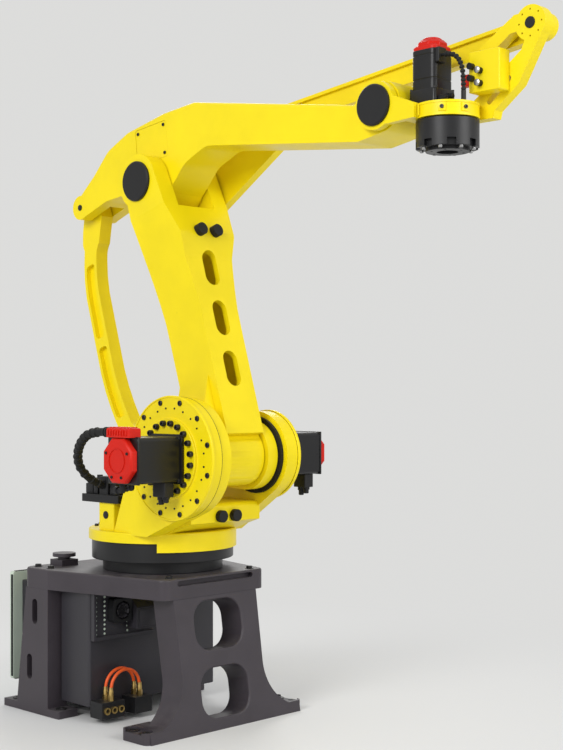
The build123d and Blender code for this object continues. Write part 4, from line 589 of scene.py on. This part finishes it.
shape = bmesh.new()
elbow_tail = [(0.011, 0.0), (0.011, 0.026), (0.016, 0.028), (0.016, 0.046), (0.012, 0.049)]
for y, drop in ((-0.515, 0.034), (-0.470, 0.026)):
    top = Vector((0.352, y, SHOULDER.z - 0.0925))
    elbow_stem = [(0.017, 0.0), (0.017, 0.008), (0.013, 0.010), (0.013, drop), (0.009, drop + 0.009)]
    lathe(shape, top, DOWN, elbow_stem)
    lathe(shape, top + drop * DOWN, BACK, elbow_tail)
add_piece("motor_elbow_plugs", shape, "black_plastic", "turntable")

# Elbow, wrist and link fasteners
shape = bmesh.new()
screw_ring(shape, beside(ELBOW, 0.252), FAR, 0.036, 6, 0.006, 0.008)
add_piece("elbow_screws", shape, "black_metal", "lower_arm", DARK_STEEL)

shape = bmesh.new()
for y, way in ((-0.100, NEAR), (0.100, FAR)):
    lathe(shape, beside(REAR_EYE, y), way, [(0.014, 0.0), (0.014, 0.003), (0.011, 0.004)])
add_piece("rear_pin_caps", shape, "black_metal", "upper_arm")

shape = bmesh.new()
for along, up in ((-0.071, 0.239), (0.102, 0.241), (0.099, 0.117), (-0.073, 0.116)):
    socket_screw(shape, beside(ELBOW + along * REACH + up * RISE, -0.099), NEAR, 0.0075, 0.005)
add_piece("arm_cover_screws", shape, "black_metal", "upper_arm", DARK_STEEL)

shape = bmesh.new()
for across in (-0.0545, 0.0545):
    for side in (-0.0545, 0.0545):
        spot = Vector((WRIST_MOTOR_X + across, side, HOUSING_TOP + 0.062))
        socket_screw(shape, spot, UP, 0.0055, 0.006)
add_piece("wrist_screws", shape, "black_metal", "wrist", DARK_STEEL)

shape = bmesh.new()
motor_layers = [
    (0.0600, 0.012, 0.000), (0.0620, 0.012, 0.003), (0.0620, 0.012, 0.058), (0.0600, 0.012, 0.062),
    (0.0570, 0.022, 0.062), (0.0570, 0.022, 0.096), (0.0555, 0.021, 0.098), (0.0555, 0.021, 0.101),
    (0.0570, 0.022, 0.103), (0.0570, 0.022, 0.186), (0.0555, 0.021, 0.188), (0.0555, 0.021, 0.191),
    (0.0570, 0.022, 0.193), (0.0570, 0.022, 0.207), (0.0550, 0.020, 0.210),
]
stacked_square(shape, Vector((WRIST_MOTOR_X, 0.0, HOUSING_TOP)), UP, motor_layers)
wrist_motor_body = add_piece("wrist_motor_body", shape, "motor_black", "wrist")
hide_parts("wrist_motor")

shape = bmesh.new()
for drop, outer in ((0.009, 0.1195), (0.054, 0.1190)):
    tube(shape, Vector((TOOL.x, 0.0, HOUSING_TOP - drop)), UP, outer, 0.1100, 0.008, 72)
for turn in BOSS_TURNS:
    spin = Matrix.Translation((TOOL.x, 0.0, BOSS_Z)) @ Matrix.Rotation(math.radians(turn), 4, "Z")
    block(shape, Vector((0.114, 0.0, 0.0)), (0.016, 0.030, 0.032), 0.004, spin)
add_piece("wrist_housing_bosses", shape, "yellow_casting", "wrist")

shape = bmesh.new()
for turn in BOSS_TURNS:
    around = math.radians(turn)
    outward = Vector((math.cos(around), math.sin(around), 0.0))
    socket_screw(shape, Vector((TOOL.x, 0.0, BOSS_Z)) + 0.1215 * outward, outward, 0.0075, 0.006)
add_piece("wrist_boss_screws", shape, "black_metal", "wrist", DARK_STEEL)

shape = bmesh.new()
cap_top = [(0.036, 0.0), (0.036, 0.004), (0.030, 0.008)]
lathe(shape, Vector((WRIST_MOTOR_X, 0.0, HOUSING_TOP + 0.250)), UP, cap_top, steps=32)
cap_skirt = [(0.0555, 0.022, 0.000), (0.0555, 0.022, 0.010), (0.0530, 0.022, 0.014), (0.0440, 0.022, 0.020)]
stacked_square(shape, Vector((WRIST_MOTOR_X, 0.0, HOUSING_TOP + 0.2095)), UP, cap_skirt)
block(shape, Vector((TOOL.x + 0.064, 0.040, HOUSING_TOP + 0.086)), (0.040, 0.036, 0.042), 0.004)
add_piece("wrist_red_caps", shape, "red_cap", "wrist")

shape = bmesh.new()
for up in (0.002, -0.044):
    spot = Vector((TOOL.x + 0.1335, 0.0, HOUSING_TOP + 0.1086 + up))
    lathe(shape, spot, NEAR, [(0.0125, 0.0), (0.0125, 0.003), (0.0090, 0.005)], steps=24)
add_piece("connector_port_rims", shape, "steel", "wrist")

shape = bmesh.new()
base_plug = [(0.013, 0.0), (0.013, 0.010), (0.010, 0.012), (0.010, 0.026), (0.007, 0.029)]
for side, up in ((-0.030, 0.024), (0.012, 0.036)):
    lathe(shape, Vector((WRIST_MOTOR_X + 0.0615, side, HOUSING_TOP + up)), FRONT, base_plug, steps=24)
add_piece("wrist_base_plugs", shape, "black_plastic", "wrist")

shape = bmesh.new()
screw_ring(shape, Vector((TOOL.x, 0.0, WRIST.z - 0.176)), DOWN, 0.099, 8, 0.0075, 0.009, turn=22.5)
add_piece("tool_flange_screws", shape, "steel", "tool_flange")

shape = bmesh.new()
lathe(shape, beside(CRANK_END, -0.051), NEAR, [(0.040, 0.0), (0.040, 0.003), (0.034, 0.006)], steps=36)
hex_bolt(shape, beside(CRANK_END, -0.057), NEAR, 0.013, 0.012)
lathe(shape, beside(CRANK_END, 0.168), FAR, [(0.030, 0.0), (0.030, 0.003), (0.026, 0.005)], steps=36)
add_piece("crank_pin_caps", shape, "steel", "crank_pin")

shape = bmesh.new()
for pivot, y, way in ((ROCKER_FRONT, 0.136, NEAR), (ROCKER_REAR, PIN_CAP_Y, FAR), (ROCKER_FRONT, 0.244, FAR)):
    screwed_pin_cap(shape, beside(pivot, y), way)
add_piece("rocker_pin_caps", shape, "black_metal", "level_rocker")

shape = bmesh.new()
screwed_pin_cap(shape, beside(LUG_PIN, PIN_CAP_Y), FAR)
add_piece("lug_pin_cap", shape, "black_metal", "turntable")

shape = bmesh.new()
pin_cap(shape, beside(LEVEL_PIN, 0.196), FAR)
lathe(shape, beside(LEVEL_PIN, 0.084), NEAR, [(0.021, 0.0), (0.021, 0.003), (0.018, 0.005)], steps=32)
add_piece("level_pin_caps", shape, "black_metal", "wrist")

# Pedestal fasteners and fittings
shape = bmesh.new()
for x, half in ((0.315, 0.235), (-0.410, 0.385), (-0.315, 0.385)):
    for y in (-half, half):
        hex_bolt(shape, Vector((x, y, SLAB_TOP)), UP, 0.014, 0.012)
FRONT_WASHERS = ((0.307, 0.387), 0.425, 0.038, 0.0270)
REAR_WASHERS = ((-0.560, -0.235), 0.388, 0.034, 0.0250)
for row, half, foot_top, washer in (FRONT_WASHERS, REAR_WASHERS):
    for x in row:
        for y in (-half, half):
            tube(shape, Vector((x, y, foot_top)), UP, washer, 0.0135, 0.004, 32)
add_piece("pedestal_bolts", shape, "black_metal", "pedestal", DARK_STEEL)

shape = bmesh.new()
for y, count in ((-0.340, 9), (-0.292, 9), (-0.165, 3)):
    for step in range(count):
        spot = Vector((PANEL_X, y, 0.378 + 0.020 * step))
        lathe(shape, spot, FRONT, [(0.0052, 0.0), (0.0052, 0.0012), (0.004, 0.002)], steps=14)
add_piece("panel_vents", shape, "door_green", "pedestal")

shape = bmesh.new()
fan_face = Vector((-0.004, -0.225, 0.478))
for ring in (0.012, 0.022, 0.032, 0.042):
    tube(shape, fan_face + Vector((-0.003, 0.0, 0.0)), FRONT, ring, ring - 0.002, 0.002, 32)
for turn in range(4):
    spoke = Matrix.Translation(fan_face) @ Matrix.Rotation(math.radians(45.0 * turn), 4, "X")
    block(shape, Vector((-0.0018, 0.0, 0.0)), (0.002, 0.088, 0.002), 0.0004, spoke)
add_piece("fan_grille", shape, "black_plastic", "pedestal")

shape = bmesh.new()
hub = fan_face + Vector((-0.022, 0.0, 0.0))
lathe(shape, hub, FRONT, [(0.016, 0.0), (0.016, 0.010), (0.013, 0.012)], steps=24)
for turn in range(7):
    spin = Matrix.Rotation(2 * math.pi * turn / 7, 4, "X")
    pitch = Matrix.Rotation(0.55, 4, "Y")
    blade = Matrix.Translation(hub) @ spin @ pitch
    block(shape, Vector((0.004, 0.0, 0.027)), (0.0016, 0.018, 0.026), 0.0004, blade)
add_piece("fan_blades", shape, "cabinet_grey", "pedestal")

shape = bmesh.new()
for y in (-0.300, 0.300):
    for z in (0.180, DOOR_MID_Z, 0.526):
        leaf = Vector((DOOR_X - 0.0025, y, z))
        block(shape, leaf, (0.005, 0.030, 0.060), 0.002)
        knuckle = Vector((leaf.x, y * 1.07, z - 0.03))
        lathe(shape, knuckle, UP, [(0.005, 0.0), (0.005, 0.060)], steps=16)
for z in (0.230, 0.476):
    lathe(shape, Vector((DOOR_X, 0.0, z)), BACK, [(0.016, 0.0), (0.016, 0.004), (0.010, 0.007)], steps=28)
    block(shape, Vector((DOOR_X - 0.009, 0.0, z)), (0.006, 0.008, 0.030), 0.002)
add_piece("door_hinges_and_latches", shape, "black_metal", "pedestal")

shape = bmesh.new()
for side in (-1.0, 1.0):
    block(shape, Vector((DOOR_X + 0.019, side * 0.3655, DOOR_MID_Z)), (0.013, 0.003, 0.470), 0.001)
    block(shape, Vector((DOOR_X + 0.019, 0.0, DOOR_MID_Z + side * 0.2495)), (0.013, 0.700, 0.003), 0.001)
add_piece("door_gasket", shape, "black_rubber", "pedestal")

shape = bmesh.new()
for step in range(8):
    for y in (0.190, -0.190):
        block(shape, Vector((DOOR_X - 0.0005, y, 0.150 + 0.020 * step)), (0.006, 0.150, 0.006), 0.002)
add_piece("door_louvres", shape, "door_green", "pedestal")

shape = bmesh.new()
sleeve = [(0.0105, 0.0), (0.0105, 0.018), (0.0090, 0.022), (0.0090, 0.034)]
for x in HOSE_XS:
    for y in (MANIFOLD_Y, VALVE_Y):
        lathe(shape, Vector((x, y, FITTING_TOP)), UP, sleeve, steps=20)
for across in (-0.038, 0.0, 0.038):
    tube(shape, Vector((0.024, MANIFOLD_Y + across, 0.058)), FRONT, 0.0155, 0.0095, 0.009)
add_piece("hose_end_sleeves", shape, "brass", "pedestal")

shape = bmesh.new()
block(shape, Vector((0.0205, -0.108, 0.438)), (0.006, 0.090, 0.076), 0.002)
add_piece("junction_box_lid", shape, "cabinet_grey", "pedestal")


# Cords
def route_curve(name, points):
    """One smooth open line steered by the points of a route."""
    curve = bpy.data.curves.new(name, "CURVE")
    curve.dimensions = "3D"
    spline = curve.splines.new("NURBS")
    spline.points.add(len(points) - 1)
    for point, place in zip(spline.points, points):
        point.co = (*place, 1.0)
    spline.order_u = 3
    spline.use_endpoint_u = True
    spline.resolution_u = 12
    return curve


def cord_line(name, points, radius, slot, body, node):
    """A hose or cable along its route, shown in place of its CAD tube."""
    curve = route_curve(name, points)
    curve.bevel_depth = radius
    curve.bevel_resolution = 5
    curve.use_fill_caps = True
    curve.materials.append(MATERIALS[slot])
    piece = bpy.data.objects.new(name, curve)
    bpy.context.scene.collection.objects.link(piece)
    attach(piece, body)
    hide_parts(node)
    return piece


def wrap_rings(name, points, radius, pitch, slot, body):
    """Rings of a spiral wrap along a cable."""
    places = smooth_route(points)
    proud = radius + 0.0035
    swell = [(radius, -0.006), (proud, -0.003), (proud, 0.003), (radius, 0.006)]
    shape = bmesh.new()
    travelled = 0.0
    due = pitch
    for before, after in zip(places, places[1:]):
        run = after - before
        travelled += run.length
        if travelled >= due and run.length > 0.0:
            lathe(shape, after, run.normalized(), swell, steps=20)
            due += pitch
    return add_piece(name, shape, slot, body)


def smooth_route(points):
    """The points that the smooth line of a route runs through."""
    line = route_curve("route", points)
    holder = bpy.data.objects.new("route", line)
    bpy.context.scene.collection.objects.link(holder)
    bpy.context.view_layer.update()
    mesh = bpy.data.meshes.new_from_object(holder)
    places = [vert.co.copy() for vert in mesh.vertices]
    bpy.data.meshes.remove(mesh)
    bpy.data.objects.remove(holder)
    bpy.data.curves.remove(line)
    return places


def hose_route(x):
    """Arch from the manifold over to the valve block."""
    bends = 6
    turns = [math.pi * step / bends for step in range(bends + 1)]
    run = (VALVE_Y - MANIFOLD_Y) / sum(math.sin(turn) for turn in turns)
    route = [(x, MANIFOLD_Y, FITTING_TOP)]
    for turn in turns:
        _, y, z = route[-1]
        route.append((x, y + run * math.sin(turn), z + run * math.cos(turn)))
    return route


def wrist_route():
    """Arch from the wrist motor's plug down to the gland on the housing."""
    route = [(TOOL.x, -0.030, HOUSING_TOP + 0.182)]
    for heading, run in ((0.0, 0.037), (30.0, 0.037), (60.0, 0.037), (80.0, 0.050), (90.0, 0.045)):
        dive = math.radians(heading)
        x, y, z = route[-1]
        route.append((x + run * math.cos(dive), y, z - run * math.sin(dive)))
    return route


MOTOR_CABLE = [
    (0.294, -0.560, 1.272), (0.194, -0.560, 1.272), (0.074, -0.520, 1.220), (-0.010, -0.470, 1.161),
    (-0.058, -0.420, 1.106), (-0.070, -0.352, 1.050), (-0.068, -0.286, 1.024),
]
CORDS = [
    ("rear_hose", hose_route(HOSE_XS[0]), 0.0070, "orange_hose", "pedestal", "rear_air_hose"),
    ("front_hose", hose_route(HOSE_XS[1]), 0.0070, "orange_hose", "pedestal", "front_air_hose"),
    ("motor_lead", MOTOR_CABLE, 0.0170, "black_rubber", "turntable", "motor_cable"),
    ("wrist_lead", wrist_route(), 0.0060, "black_rubber", "wrist", "wrist_cable"),
]
for name, points, radius, slot, body, node in CORDS:
    piece = cord_line(name, points, radius, slot, body, node)
    route = smooth_route(points)
    if slot == "black_rubber":
        wrap_rings(name + "_wrap", points, radius, 2.4 * radius + 0.002, slot, body)


# Floor and light
BACKDROP = (0.72, 0.72, 0.71, 1.0)


def seen_ray(tree):
    """One where the backdrop itself is looked at or mirrored, so that it adds no light."""
    ray = tree.nodes.new("ShaderNodeLightPath")
    mirrored = maths(tree, "MAXIMUM", ray.outputs["Is Glossy Ray"], ray.outputs["Is Transmission Ray"])
    return maths(tree, "MAXIMUM", ray.outputs["Is Camera Ray"], mirrored)


def plain_floor():
    """Pale floor that fades into the backdrop away from the robot."""
    shape = bmesh.new()
    bmesh.ops.create_grid(shape, x_segments=4, y_segments=4, size=40.0)
    mesh = bpy.data.meshes.new("studio_floor")
    shape.to_mesh(mesh)
    shape.free()
    material = bpy.data.materials.new("floor_pale")
    material.use_nodes = True
    tree = material.node_tree
    shader = tree.nodes["Principled BSDF"]
    shader.inputs["Base Color"].default_value = (0.74, 0.74, 0.73, 1.0)
    shader.inputs["Roughness"].default_value = 0.85
    shader.inputs["Specular IOR Level"].default_value = 0.1
    glow = tree.nodes.new("ShaderNodeEmission")
    glow.inputs["Color"].default_value = BACKDROP
    place = tree.nodes.new("ShaderNodeTexCoord")
    far = tree.nodes.new("ShaderNodeVectorMath")
    far.operation = "LENGTH"
    tree.links.new(place.outputs["Object"], far.inputs[0])
    fade = maths(tree, "MULTIPLY", remap(tree, far.outputs["Value"], 0.9, 3.2), seen_ray(tree))
    blend = tree.nodes.new("ShaderNodeMixShader")
    tree.links.new(fade, blend.inputs["Fac"])
    tree.links.new(shader.outputs["BSDF"], blend.inputs[1])
    tree.links.new(glow.outputs["Emission"], blend.inputs[2])
    tree.links.new(blend.outputs["Shader"], tree.nodes["Material Output"].inputs["Surface"])
    mesh.materials.append(material)
    floor = bpy.data.objects.new("studio_floor", mesh)
    bpy.context.scene.collection.objects.link(floor)


def studio_air():
    """Even soft light from all round, with the backdrop's colour where it is looked at."""
    world = bpy.data.worlds.new("studio_air")
    world.use_nodes = True
    tree = world.node_tree
    air = tree.nodes["Background"]
    air.inputs["Color"].default_value = (0.97, 0.98, 1.0, 1.0)
    air.inputs["Strength"].default_value = 0.56
    seen = tree.nodes.new("ShaderNodeBackground")
    seen.inputs["Color"].default_value = BACKDROP
    blend = tree.nodes.new("ShaderNodeMixShader")
    tree.links.new(seen_ray(tree), blend.inputs["Fac"])
    tree.links.new(air.outputs["Background"], blend.inputs[1])
    tree.links.new(seen.outputs["Background"], blend.inputs[2])
    tree.links.new(blend.outputs["Shader"], tree.nodes["World Output"].inputs["Surface"])
    bpy.context.scene.world = world


def soft_light(name, place, target, size, power):
    """A large round lamp aimed at a target."""
    lamp = bpy.data.lights.new(name, "AREA")
    lamp.shape = "DISK"
    lamp.size = size
    lamp.energy = power
    holder = bpy.data.objects.new(name, lamp)
    bpy.context.scene.collection.objects.link(holder)
    holder.location = place
    holder.rotation_euler = (Vector(target) - Vector(place)).to_track_quat("-Z", "Y").to_euler()


plain_floor()
soft_light("key_light", (2.6, -9.2, 6.0), (0.5, 0.0, 1.4), 5.0, 630.0)
soft_light("fill_light", (8.0, 1.2, 4.2), (0.5, 0.0, 1.4), 4.5, 260.0)
soft_light("back_light", (-4.6, 4.8, 6.0), (0.2, 0.0, 1.6), 4.0, 190.0)
studio_air()
bpy.context.scene.view_settings.view_transform = "Standard"

# Camera at the photo's angle, from its height in pixels
SENSOR = 36.0
PICTURE_H = 750.0
FOCAL_PX = 1384.8
SHIFT_PX = 15.1
lens = bpy.data.cameras.new("photo_camera")
lens.sensor_fit = "VERTICAL"
lens.sensor_height = SENSOR
lens.lens = FOCAL_PX / PICTURE_H * SENSOR
lens.shift_y = SHIFT_PX / PICTURE_H
camera = bpy.data.objects.new("photo_camera", lens)
bpy.context.scene.collection.objects.link(camera)
camera.location = (4.7474, -4.0620, 1.4421)
camera.rotation_euler = Vector((-0.7016, 0.7126, 0.0)).to_track_quat("-Z", "Y").to_euler()
bpy.context.scene.camera = camera
